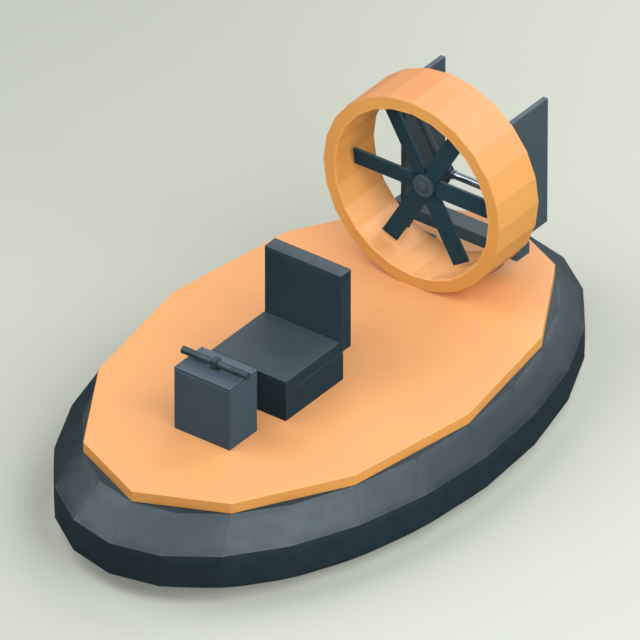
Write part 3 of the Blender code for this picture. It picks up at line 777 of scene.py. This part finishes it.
class HOVERCRAFT_OT_skirt(bpy.types.Operator):
    """Make the bag skirt: inflated panels of coated cloth between taped folds, with a hem round the foot"""

    bl_idname = "hovercraft.skirt"
    bl_label = "Bag skirt"

    CUTS = 11
    CROWN = 0.004
    PRESSURE = 6.0
    # The last ring of the tapes, which end a little over the ground.
    TAPE_FOOT = (0.9765, 1.6503, 0.0042)
    # A little more than half the width and the length between the inner walls.
    INNER_HALVES = (0.802, 1.472)
    NEAR = 0.001
    HEM_FOOT = 0.006

    def execute(self, context):
        sizes = context.scene.craft_sizes
        bag = skirt_ring(SKIRT_RINGS)
        with Shaping(bag) as shape:
            shape.pick("edges", lambda edge: edge.is_boundary)
            bpy.ops.mesh.bridge_edge_loops()
            shape.outwards()
            shape.all()
            bpy.ops.mesh.mark_sharp()
            bpy.ops.mesh.subdivide(number_cuts=self.CUTS)
        sharp = {i for edge in bag.data.edges if edge.use_edge_sharp for i in edge.vertices}
        inflate(bag, lambda i, co: i in sharp or self.hidden(co), (self.CROWN,) * 3, self.PRESSURE)
        choose(bag)
        bpy.ops.object.shade_smooth()
        self.make_hem(twinned(bag), sizes)
        dress("skirt_bag", bag, "skirt_cloth", "skirt_bow_port", "skirt_bow_starboard", "skirt_stern_port",
              "skirt_stern_starboard")
        self.make_tapes(sizes)
        return {"FINISHED"}

    def hidden(self, co):
        """Whether a point lies on the inner wall, the top or the ground."""
        wide, long = self.INNER_HALVES
        return (math.hypot(co.x / wide, co.y / long) < 1.0 or co.z > SKIRT_TOP - self.NEAR
                or co.z < self.NEAR)

    def make_hem(self, hem, sizes):
        """A second layer of cloth welded over the outside of the bag, low down, cut from a copy of it."""
        def spare(face):
            middle = face.calc_center_median()
            return not (self.HEM_FOOT < middle.z < sizes.hem_height and face.normal.xy.dot(middle.xy) > 0.0)

        with Shaping(hem) as shape:
            shape.pick("faces", spare)
            bpy.ops.mesh.delete(type="FACE")
        applied(hem, "SOLIDIFY", thickness=sizes.tape_thickness, offset=1.0)
        dress("foot_hem", hem, "skirt_cloth")

    def make_tapes(self, sizes):
        """Tapes welded over the folds, split out of a second ring by a bevel along each fold."""
        tapes = skirt_ring((*SKIRT_RINGS[:3], self.TAPE_FOOT))
        with Shaping(tapes) as shape:
            shape.pick("edges", fold_edge)
            bpy.ops.mesh.bevel(offset=sizes.tape_width / 2, segments=2, profile=1.0, affect="EDGES")
            bpy.ops.mesh.select_all(action="INVERT")
            bpy.ops.mesh.delete(type="FACE")
            shape.outwards()
        applied(tapes, "SOLIDIFY", thickness=sizes.tape_thickness * 2, offset=0.0)
        dress("skirt_tapes", tapes, "skirt_cloth")


# Seat.

SEAT_HALF = 0.2495
CUSHION = ((-SEAT_HALF, -0.634, 0.6990), (SEAT_HALF, -0.1583, 0.774))
BACK_PAD = ((-SEAT_HALF, -0.158, 0.6990), (SEAT_HALF, -0.0853, 1.182))

# Size of the cloth mesh of a pad, and how far its sewn edges hold it.
CELL = 0.011
SEWN = 0.008


def pad_block(low, high, edge, soft):
    """A padded block whose soft edges are rounded, with an even cloth mesh over it."""
    pad = block(low, high)
    with Shaping(pad) as shape:
        shape.pick("edges", lambda e: soft((e.verts[0].co + e.verts[1].co) / 2))
        bpy.ops.mesh.bevel(offset=edge, segments=3, affect="EDGES")
        for axis in range(3):
            cuts = round((high[axis] - low[axis]) / CELL)
            shape.pick("edges", lambda e: abs((e.verts[0].co - e.verts[1].co)[axis]) > 3 * CELL)
            bpy.ops.mesh.subdivide(number_cuts=cuts - 1)
        shape.outwards()
    return pad


def pull_in(pad, low, high, across, lengthways, pull):
    """Draw the sides of a pad in between its corners, along one axis by the place on another."""
    middle, half = (low[across] + high[across]) / 2, (high[across] - low[across]) / 2
    for vertex in pad.data.vertices:
        share = (vertex.co[lengthways] - low[lengthways]) / (high[lengthways] - low[lengthways])
        out = (vertex.co[across] - middle) / half
        vertex.co[across] -= pull * math.sin(math.pi * min(1.0, max(0.0, share))) * out ** 5


def held_edges(low, high, also):
    """Which points of a pad its sewn edges hold: those near two faces of its block at once."""
    def held(index, co):
        close = sum(min(co[k] - low[k], high[k] - co[k]) < SEWN for k in range(3))
        return close > 1 or also(co)
    return held


def cord_round(points, radius):
    """A closed piping cord through points that end where they start, as a mesh."""
    curve = bpy.data.curves.new("cord", "CURVE")
    curve.dimensions = "3D"
    curve.bevel_depth, curve.bevel_resolution = radius, 1
    spline = curve.splines.new("POLY")
    points = points[:-1]
    spline.points.add(len(points) - 1)
    for point, co in zip(spline.points, points):
        point.co = (*co, 1.0)
    spline.use_cyclic_u = True
    piece = bpy.data.objects.new("cord", curve)
    bpy.context.scene.collection.objects.link(piece)
    choose(piece)
    bpy.ops.object.convert(target="MESH")
    return smoothed(bpy.context.object, 60.0)


def rounded_loop(low, high, inset, corner=0.004, steps=6):
    """Points round a rectangle with rounded corners, a little way in from its edges: (u, v) pairs."""
    inset += corner
    points = []
    for u, v, first in ((high[0] - inset, high[1] - inset, 0), (low[0] + inset, high[1] - inset, 90),
                        (low[0] + inset, low[1] + inset, 180), (high[0] - inset, low[1] + inset, 270)):
        for i in range(steps + 1):
            angle = math.radians(first + 90.0 * i / steps)
            points.append((u + corner * math.cos(angle), v + corner * math.sin(angle)))
    return points + points[:1]


class HOVERCRAFT_OT_seat(bpy.types.Operator):
    """Upholster the seat: crowned cushion and backrest pad with piped, stitched edges"""

    bl_idname = "hovercraft.seat"
    bl_label = "Seat cushion and backrest"

    # The covers reach a little out over the edges of the box and of the shell.
    PROUD = Vector((0.0007, 0.0007, 0.0007))
    OVERLAP = 0.0045
    CROWN = 0.0060
    BULGE = 0.0014
    PULL = 0.0006
    PIPE_INSET = 0.0023
    STITCH_INSETS = (0.013, 0.019)
    # How far the covers are held along their bases, and the cushion against the backrest.
    BASE = 0.012
    REAR = 0.010
    # The studs up each side of the shell, how far they sit in, and the lowest one's height.
    STUDS = 5
    STUD_INSET = 0.03
    STUD_FOOT = 0.05

    def execute(self, context):
        base, top = self.BASE, CUSHION[1][2]
        low, high = Vector(CUSHION[0]) - self.PROUD, Vector(CUSHION[1]) + self.PROUD
        low.z, high.z = CUSHION[0][2] - self.OVERLAP, top - self.CROWN / 2
        pipe, rows = self.upholster("cushion", "seat_cushion", low, high, (0, 1, 2), (high.z, low.z), low.y,
                                    lambda co: co.z < low.z + base or co.y > high.y - self.REAR)
        low, high = Vector(BACK_PAD[0]) - self.PROUD, Vector(BACK_PAD[1]) + self.PROUD
        low.y, high.y = BACK_PAD[0][1] + self.CROWN / 2, BACK_PAD[1][1] + self.OVERLAP
        tall, more = self.upholster("back_pad", "backrest_pad", low, high, (0, 2, 1), (low.y, high.y),
                                    top - base, lambda co: co.y > high.y - base or co.z < top + base)
        dress("seat_piping", joined(pipe, tall), "seat_vinyl")
        dress("seat_stitches", joined(*rows, *more), "seat_vinyl")

        low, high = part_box("backrest_shell")
        first, inset = low.z + self.STUD_FOOT, self.STUD_INSET
        step = (high.z - inset - first) / (self.STUDS - 1)
        studs = [at(x, high.y, first + i * step, ASTERN) for x in (low.x + inset, high.x - inset)
                 for i in range(self.STUDS)]
        dress("shell_studs", copied(rivet(0.007, 0.0035), studs), "bracket_steel")
        return {"FINISHED"}

    def upholster(self, name, node, low, high, axes, levels, foot, held):
        """Make one pad in place of its node, and return its piping and its rows of stitches.

        axes are the two of its panel and the one that its panel faces along; levels are those of the
        panel and of the base on that axis; foot is where the panel starts on its second axis.
        """
        sizes = bpy.context.scene.craft_sizes
        u, v, out = axes
        panel, base = levels
        pad = pad_block(low, high, sizes.pad_edge, lambda middle: abs(middle[out] - base) > 0.001)
        pull_in(pad, low, high, u, v, self.PULL)
        limits = [self.BULGE] * 3
        limits[out] = self.CROWN
        inflate(pad, held_edges(low, high, held), limits)
        applied(pad, "SUBSURF", levels=1, render_levels=1)
        dress(name, smoothed(pad, 60.0), "seat_vinyl", node)

        def round_panel(inset, depth):
            spots = []
            for pair in rounded_loop((low[u], foot), (high[u], high[v]), inset):
                spot = Vector()
                spot[u], spot[v] = pair
                spot[out] = panel + math.copysign(depth, base - panel)
                spots.append(spot)
            return spots

        pipe = cord_round(round_panel(self.PIPE_INSET, self.PIPE_INSET), sizes.piping)
        return pipe, [stitched(round_panel(inset, 0.0), pad, sizes.stitch_pitch, sizes.stitch)
                      for inset in self.STITCH_INSETS]


# Console and handlebar.


class HOVERCRAFT_OT_console(bpy.types.Operator):
    """Fit the console: lid screws, and a switch panel on the rider's side"""

    bl_idname = "hovercraft.console"
    bl_label = "Console fittings"

    INSET = 0.016
    PANEL_HALF = 0.120
    PANEL_HEIGHTS = (0.700, 0.850)
    PANEL_THICK = 0.005
    SCREW_INSET = 0.004
    # The controls stand on the sunk face of the panel, beside the dial at this distance.
    SUNK_FACE = 0.002
    APART = 0.070

    def execute(self, context):
        low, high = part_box("console_lid")
        places = [at(x, y, high.z) for x, y in corners(low, high, self.INSET, self.INSET)]
        dress("lid_screws", copied(socket_screw(0.0045, 0.0028), places), "bar_enamel")

        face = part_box("console_body")[1].y
        half, front = self.PANEL_HALF, face + self.PANEL_THICK
        bottom, top = self.PANEL_HEIGHTS
        panel = block((-half, face, bottom), (half, front, top))
        with Shaping(panel) as shape:
            shape.pick("faces", lambda f: f.normal.y > 0.9)
            bpy.ops.mesh.inset(thickness=0.008)
            shape.extrude(y=self.SUNK_FACE - self.PANEL_THICK)
            bpy.ops.mesh.inset(thickness=0.001)
        dress("switch_panel", eased(panel, 0.0012), "slate_moulding")

        seat, middle = face + self.SUNK_FACE, (bottom + top) / 2
        key = turned(((0.0, 0.017), (0.003, 0.017), (0.004, 0.0145), (0.009, 0.0145), (0.0105, 0.012),
                      (0.0105, 0.004), (0.006, 0.004)), at(self.APART, seat, middle, ASTERN))
        dial = turned(((0.0, 0.032), (0.006, 0.032), (0.009, 0.029), (0.009, 0.026), (0.0055, 0.0255),
                       (0.0055, 0.004), (0.0075, 0.0035)), at(0.0, seat, middle, ASTERN))
        stop = turned(((0.0, 0.020), (0.003, 0.020), (0.004, 0.012), (0.009, 0.012), (0.0095, 0.0165),
                       (0.014, 0.0165), (0.0165, 0.0135), (0.0175, 0.006)),
                      at(-self.APART, seat, middle, ASTERN))
        needle = block((-0.001, seat + 0.0056, middle), (0.001, seat + 0.0066, middle + 0.021))
        dress("panel_controls", joined(key, dial, eased(needle, 0.0003, 1)), "bar_enamel")
        dress("stop_button", stop, "orange_gelcoat")
        inset = self.SCREW_INSET
        screws = [at(x, front, z, ASTERN) for x, z in corners((-half, bottom), (half, top), inset, inset)]
        dress("panel_screws", copied(socket_screw(0.0028, 0.0016), screws), "bar_enamel")
        return {"FINISHED"}


class HOVERCRAFT_OT_handlebar(bpy.types.Operator):
    """Fit the handlebar: ribbed grips, clamp screws and the throttle's pivot"""

    bl_idname = "hovercraft.handlebar"
    bl_label = "Grips and clamp screws"

    RIBS = 12
    # Where the ribs start, and what the grip's two ends take of its length.
    FIRST_RIB = 0.011
    ENDS = 0.022
    # Radii of a groove and of a rib against the grip's own.
    GROOVE = 0.87
    RIB = 0.97
    # How far in from the stem's sides its screws sit, and from the lever's its pivot, along X and Y.
    CLAMP_INSETS = (0.006, 0.0045)
    PIVOT_INSETS = (0.010, 0.0075)

    def execute(self, context):
        low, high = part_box("grip_port")
        radius, middle, span = (high.z - low.z) / 2, (low + high) / 2, high.x - low.x
        groove, rib = self.GROOVE, self.RIB
        pitch = (span - self.ENDS) / self.RIBS
        profile = [(0.0, rib), (0.001, 1.0), (0.008, 1.0), (0.0095, groove)]
        for i in range(self.RIBS):
            foot = self.FIRST_RIB + i * pitch
            profile += [(foot, groove), (foot + pitch * 0.18, rib), (foot + pitch * 0.62, rib),
                        (foot + pitch * 0.80, groove)]
        profile += [(span - 0.009, groove), (span - 0.008, 1.0), (span - 0.002, 1.0), (span, 0.82),
                    (span, 0.35), (span - 0.002, 0.3)]
        for side_name, side in (("port", 1), ("starboard", -1)):
            spot = at(side * low.x, middle.y, middle.z, (side, 0, 0))
            grip = turned(profile, spot, sides=28, smooth=35.0, unit=radius)
            dress("ribbed_grip_" + side_name, grip, "grip_rubber", "grip_" + side_name, body="handlebar")

        low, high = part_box("steering_stem")
        places = [at(x, y, high.z) for x, y in corners(low, high, *self.CLAMP_INSETS)]
        dress("clamp_screws", copied(flush_screw(0.0032), places), "bar_enamel", body="handlebar")
        low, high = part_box("throttle_lever")
        in_x, in_y = self.PIVOT_INSETS
        pivot = turned(((0.0, 0.0065), (0.003, 0.0065), (0.0042, 0.0052), (0.0042, 0.0028), (0.0025, 0.0026)),
                       at(high.x - in_x, high.y - in_y, low.z, (0, 0, -1)), sides=16)
        dress("lever_pivot", pivot, "bar_enamel", body="handlebar")
        return {"FINISHED"}


# Duct, motor and fan.

STRUT_Y = 1.090
STRUT_ANGLES = (0, 120, 240)
BOLT_ANGLES = range(30, 390, 60)


def round_duct(angle, radius, y, axis=None):
    """The place at an angle from the port side round the duct's axis, facing out or along axis."""
    turn = math.radians(angle)
    out = Vector((math.cos(turn), 0, math.sin(turn)))
    return at(out.x * radius, y, DUCT_Z + out.z * radius, axis or out)


class HOVERCRAFT_OT_duct(bpy.types.Operator):
    """Fit the duct: strut bolts and collars, foot bolts, rivets round both lips, and cleats behind it"""

    bl_idname = "hovercraft.duct"
    bl_label = "Duct fittings"

    # Where the struts' collars sit: round the motor, and inside the duct.
    COLLAR_RADII = (0.064, DUCT_INNER - 0.0045)
    BOLT_OUT = 0.026
    RIVET_INSET = 0.022
    # The lip has no rivets this near to its lowest point, where it stands on the deck.
    BARE = 0.02
    # How far a foot's bolts sit in from its ends, and above its base.
    FOOT_INSET = 0.035
    FOOT_HEIGHT = 0.016
    # Inner front and outer rear corner of the port cleat, the height of its flange and of its rib.
    CLEAT = ((0.172, 1.1475), (0.2710, 1.2550))
    CLEAT_HEIGHTS = (0.010, 0.018)
    SCREW_INSET = 0.006

    def execute(self, context):
        half_facet = 180.0 / DUCT_FACETS
        outside = DUCT_OUTER * math.cos(math.radians(half_facet))
        places = [round_duct(angle + side * half_facet, outside, STRUT_Y + dy) for angle in STRUT_ANGLES
                  for side in (-1, 1) for dy in (-self.BOLT_OUT, self.BOLT_OUT)]
        self.fasten("strut_bolts", flush_screw(0.0060), places)

        low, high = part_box("duct_ring")
        rivets = []
        for i in range(DUCT_FACETS):
            angle = (2 * i + 1) * half_facet
            if DUCT_Z + outside * math.sin(math.radians(angle)) > low.z + self.BARE:
                rivets += [round_duct(angle, outside, y)
                           for y in (low.y + self.RIVET_INSET, high.y - self.RIVET_INSET)]
        self.fasten("lip_rivets", flush_screw(0.0038), rivets)

        collar = turned(((0.0, 0.0240), (0.0015, 0.0252), (0.005, 0.0252), (0.0062, 0.0240), (0.010, 0.0228),
                         (0.0110, 0.0219)))
        # Turned right about and put at a negative radius, the outer collars face the axis.
        at_motor, at_duct = self.COLLAR_RADII
        places = [round_duct(angle, at_motor, STRUT_Y) for angle in STRUT_ANGLES]
        places += [round_duct(angle + 180, -at_duct, STRUT_Y) for angle in STRUT_ANGLES]
        dress("strut_collars", copied(collar, places), "hub_enamel")

        feet = []
        for node, side in (("duct_foot_port", 1), ("duct_foot_starboard", -1)):
            low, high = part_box(node)
            outer = high.x if side > 0 else low.x
            feet += [at(outer, y, low.z + self.FOOT_HEIGHT, (side, 0, 0))
                     for y in (low.y + self.FOOT_INSET, high.y - self.FOOT_INSET)]
        self.fasten("foot_bolts", bolt(0.0065, 0.006), feet)
        self.make_cleats()
        return {"FINISHED"}

    def fasten(self, name, head, places):
        """Copy a fastener to its places on the duct, in the duct's own finish."""
        dress(name, copied(head, places), "orange_gelcoat", finish="duct_gelcoat")

    def make_cleats(self):
        """Two low cleats, screwed to the deck, that hold the duct's rear lip."""
        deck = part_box("deck")[1].z
        (inner, front), (outer, rear) = self.CLEAT
        flange, rib = self.CLEAT_HEIGHTS
        cleat = block((inner, front, deck), (outer, rear, deck + flange))
        with Shaping(cleat) as shape:
            shape.pick("faces", lambda f: f.normal.z > 0.9)
            bpy.ops.mesh.inset(thickness=0.011)
            shape.extrude(z=rib - flange)
        across = Matrix.Translation((-inner - outer, 0, 0))
        dress("duct_cleats", copied(eased(cleat, 0.0015), [Matrix(), across]), "rudder_enamel")
        screws = [at(side * x, y, deck + flange) for side in (1, -1)
                  for x, y in corners(*self.CLEAT, self.SCREW_INSET, self.SCREW_INSET)]
        dress("cleat_screws", copied(flush_screw(0.0036), screws), "rudder_enamel")


class HOVERCRAFT_OT_motor(bpy.types.Operator):
    """Fit the motor: cooling fins and a screwed end cap"""

    bl_idname = "hovercraft.motor"
    bl_label = "Motor fins and cap"

    FINS = 8
    # What the fins leave free of the housing's front, and ahead of the struts.
    FREE_FRONT = 0.008
    FREE_STRUTS = 0.030
    # How deep the fins sink in, and how far the cap stands out under its screws.
    SUNK = 0.001
    CAP_RIM = 0.0045
    # The radius at which the cap's screws sit, against its own.
    SCREWS_OUT = 0.62

    def execute(self, context):
        low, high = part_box("motor_housing")
        radius = (high.x - low.x) / 2
        first = low.y + self.FREE_FRONT
        pitch = (STRUT_Y - self.FREE_STRUTS - first) / self.FINS
        fin = start("circle", vertices=40, radius=radius - self.SUNK)
        with Shaping(fin) as shape:
            shape.pick("edges", lambda edge: True)
            shape.extrude()
            wide = (radius + context.scene.craft_sizes.fin_reach) / (radius - self.SUNK)
            shape.resize(wide, wide, 1.0)
        applied(fin, "SOLIDIFY", thickness=pitch * 0.45, offset=0.0)
        places = [at(0, first + (i + 0.5) * pitch, DUCT_Z, ASTERN) for i in range(self.FINS)]
        dress("motor_fins", copied(smoothed(fin), places), "hub_enamel")

        rim = self.CAP_RIM
        cap = turned(((0.0, 0.86), (0.003, 0.86), (rim, 0.82), (rim, 0.42), (0.009, 0.38), (0.010, 0.34),
                      (0.010, 0.12), (0.0085, 0.10)), at(0, high.y, DUCT_Z, ASTERN), unit=radius)
        dress("motor_cap", cap, "hub_enamel")
        screws = [round_duct(angle, radius * self.SCREWS_OUT, high.y + rim, ASTERN) for angle in BOLT_ANGLES]
        dress("motor_screws", copied(socket_screw(0.004, 0.003), screws), "hub_enamel")
        return {"FINISHED"}


class HOVERCRAFT_OT_fan(bpy.types.Operator):
    """Fit the fan: spinner cap, hub bolts, and a clamp plate with bolts on each blade's root"""

    bl_idname = "hovercraft.fan"
    bl_label = "Fan fittings"

    BLADES = 6
    PITCH = 8.0
    BLADE_Y = 0.929
    # Half the thickness of a blade's root with its clamp plates, their outer end and half their width.
    CLAMP_HALF = 0.0112
    CLAMP_END = 0.112
    CLAMP_WIDE = 0.027
    # Where its bolts sit on a blade, and at which share of the radius the hub's do.
    ROOT_BOLTS = ((0.080, 0.015), (0.080, -0.015), (0.101, 0.0))
    HUB_BOLTS = 0.76

    def execute(self, context):
        low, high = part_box("fan_hub")
        radius = (high.x - low.x) / 2
        cap = turned(((0.0, 0.52), (0.003, 0.52), (0.0045, 0.47), (0.008, 0.40), (0.0105, 0.27),
                      (0.0115, 0.10)), at(0, low.y, DUCT_Z, FORWARD), unit=radius)
        dress("spinner_cap", cap, "hub_enamel", body="fan")
        bolts = [round_duct(angle, radius * self.HUB_BOLTS, low.y, FORWARD) for angle in BOLT_ANGLES]
        dress("hub_bolts", copied(flush_screw(0.0046), bolts), "hub_enamel", body="fan")

        centre = Matrix.Translation((0, self.BLADE_Y, DUCT_Z))
        pitched = Matrix.Rotation(math.radians(90 - self.PITCH), 4, "X")
        blades = [centre @ Matrix.Rotation(-math.tau * i / self.BLADES, 4, "Y") @ pitched
                  for i in range(self.BLADES)]
        half, wide = self.CLAMP_HALF, self.CLAMP_WIDE
        plate = block((radius + 0.003, -wide, -half), (self.CLAMP_END, wide, half))
        with Shaping(plate) as shape:
            shape.pick("faces", lambda f: f.normal.x > 0.9)
            shape.resize(1.0, 0.72, 1.0)
        dress("root_clamps", copied(eased(plate, 0.0015), blades), "blade_composite", body="fan")
        heads = []
        for blade in blades:
            for x, y in self.ROOT_BOLTS:
                heads += [blade @ at(x, y, half), blade @ at(x, y, -half, (0, 0, -1))]
        dress("root_bolts", copied(flush_screw(0.0042), heads), "blade_composite", body="fan")
        return {"FINISHED"}


# Rudders and their beam.


class HOVERCRAFT_OT_rudders(bpy.types.Operator):
    """Rivet the rudders' skins, and bolt the beam, its end caps and its bearings"""

    bl_idname = "hovercraft.rudders"
    bl_label = "Rudder and beam fittings"

    # The rivets' pitch, how far they sit in, and how much more the lowest one.
    PITCH = 0.055
    INSET = 0.012
    CLEAR = 0.02
    CAP_THICK = 0.004
    # Where the beam's bolts and screws sit along X, and how far from its middle along Y.
    BRACKET_BOLTS = (0.292, 0.365)
    CAP_BOLTS_OUT = 0.035
    TOP_SCREWS = (-0.21, -0.07, 0.07, 0.21)
    TOP_SCREWS_OUT = 0.036
    BEARING_SCREWS_OUT = 0.025

    def execute(self, context):
        for side_name in ("port", "starboard"):
            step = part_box("rudder_stock_" + side_name)[1].z
            places = self.rivet_places(*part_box("rudder_" + side_name), step)
            dress("rudder_rivets_" + side_name, copied(rivet(0.0036, 0.0018), places), "rudder_enamel",
                  body="rudder_" + side_name)

        low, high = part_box("rudder_beam")
        middle, thick = (low + high) / 2, self.CAP_THICK
        caps = []
        for side in (1, -1):
            centre = Vector((side * (high.x + thick / 2), middle.y, middle.z))
            half = Vector((thick / 2, (high.y - low.y) / 2 - thick, (high.z - low.z) / 2 - thick))
            caps.append(eased(block(centre - half, centre + half), 0.0015))
        dress("beam_caps", joined(*caps), "rudder_enamel")
        bolts = [at(side * (high.x + thick), middle.y + dy, middle.z, (side, 0, 0))
                 for side in (1, -1) for dy in (-self.CAP_BOLTS_OUT, self.CAP_BOLTS_OUT)]
        bolts += [at(side * x, high.y, middle.z, ASTERN) for side in (1, -1) for x in self.BRACKET_BOLTS]
        dress("beam_bolts", copied(bolt(0.0065, 0.0055), bolts), "rudder_enamel")
        screws = [at(x, middle.y + dy, high.z) for x in self.TOP_SCREWS
                  for dy in (-self.TOP_SCREWS_OUT, self.TOP_SCREWS_OUT)]
        dress("beam_screws", copied(flush_screw(0.0050), screws), "rudder_enamel")

        screws = []
        for side_name in ("port", "starboard"):
            low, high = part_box("rudder_bearing_" + side_name)
            x, y = (low.x + high.x) / 2, (low.y + high.y) / 2
            screws += [at(x + dx, y, high.z) for dx in (-self.BEARING_SCREWS_OUT, self.BEARING_SCREWS_OUT)]
        dress("bearing_screws", copied(socket_screw(0.0028, 0.002), screws), "bracket_steel")
        return {"FINISHED"}

    def rivet_places(self, low, high, step):
        """Rivets round both skins of a rudder, over the step where its stock ends."""
        inset, half = self.INSET, self.PITCH / 2
        front, rear, top = low.y + inset, high.y - inset, high.z - inset
        bottom = low.z + inset + self.CLEAR
        step += inset
        runs = (((0, front, step), (0, front, top)), ((0, rear, bottom), (0, rear, top)),
                ((0, front + half, top), (0, rear, top)), ((0, front + half, step), (0, rear - half, step)))
        return [at(x, spot.y, spot.z, (side, 0, 0)) for run in runs for spot, _ in along(run, self.PITCH)
                for x, side in ((high.x, 1), (low.x, -1))]


# Deck.


class HOVERCRAFT_OT_deck(bpy.types.Operator):
    """Screw the deck down round its edge"""

    bl_idname = "hovercraft.deck"
    bl_label = "Deck screws"

    SIDES = 12
    PER_SIDE = 6
    INSET = 0.024

    def execute(self, context):
        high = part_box("deck")[1]
        wide, long = high.x - self.INSET, high.y - self.INSET
        edge = [Vector((wide * math.cos(turn), long * math.sin(turn), high.z))
                for turn in (math.tau * i / self.SIDES for i in range(self.SIDES))]
        places = [at(*first.lerp(second, (i + 0.5) / self.PER_SIDE))
                  for first, second in zip(edge, edge[1:] + edge[:1]) for i in range(self.PER_SIDE)]
        dress("deck_screws", copied(flush_screw(0.0052), places), "orange_gelcoat")
        return {"FINISHED"}


class HOVERCRAFT_PT_panel(bpy.types.Panel):
    """Lists the steps that dress the craft"""

    bl_label = "Hovercraft"
    bl_idname = "HOVERCRAFT_PT_panel"
    bl_space_type = "VIEW_3D"
    bl_region_type = "UI"
    bl_category = "Hovercraft"

    def draw(self, context):
        layout = self.layout
        for group in (context.scene.studio, context.scene.craft_colours, context.scene.craft_sizes):
            for key in group.bl_rna.properties.keys():
                if key not in ("rna_type", "name"):
                    layout.prop(group, key)
        for step in STEPS:
            layout.operator(step.bl_idname)


STEPS = (HOVERCRAFT_OT_stage, HOVERCRAFT_OT_finish, HOVERCRAFT_OT_skirt, HOVERCRAFT_OT_seat,
         HOVERCRAFT_OT_console, HOVERCRAFT_OT_handlebar, HOVERCRAFT_OT_duct, HOVERCRAFT_OT_motor,
         HOVERCRAFT_OT_fan, HOVERCRAFT_OT_rudders, HOVERCRAFT_OT_deck)
CLASSES = (CraftColours, CraftSizes, StudioSettings, *STEPS, HOVERCRAFT_PT_panel)


def register():
    for kind in CLASSES:
        bpy.utils.register_class(kind)
    bpy.types.Scene.craft_colours = PointerProperty(type=CraftColours)
    bpy.types.Scene.craft_sizes = PointerProperty(type=CraftSizes)
    bpy.types.Scene.studio = PointerProperty(type=StudioSettings)


def unregister():
    del bpy.types.Scene.studio
    del bpy.types.Scene.craft_sizes
    del bpy.types.Scene.craft_colours
    for kind in reversed(CLASSES):
        bpy.utils.unregister_class(kind)


def main():
    """Register the add-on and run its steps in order."""
    register()
    for step in STEPS:
        group, name = step.bl_idname.split(".")
        getattr(getattr(bpy.ops, group), name)()


if __name__ == "__main__":
    main()
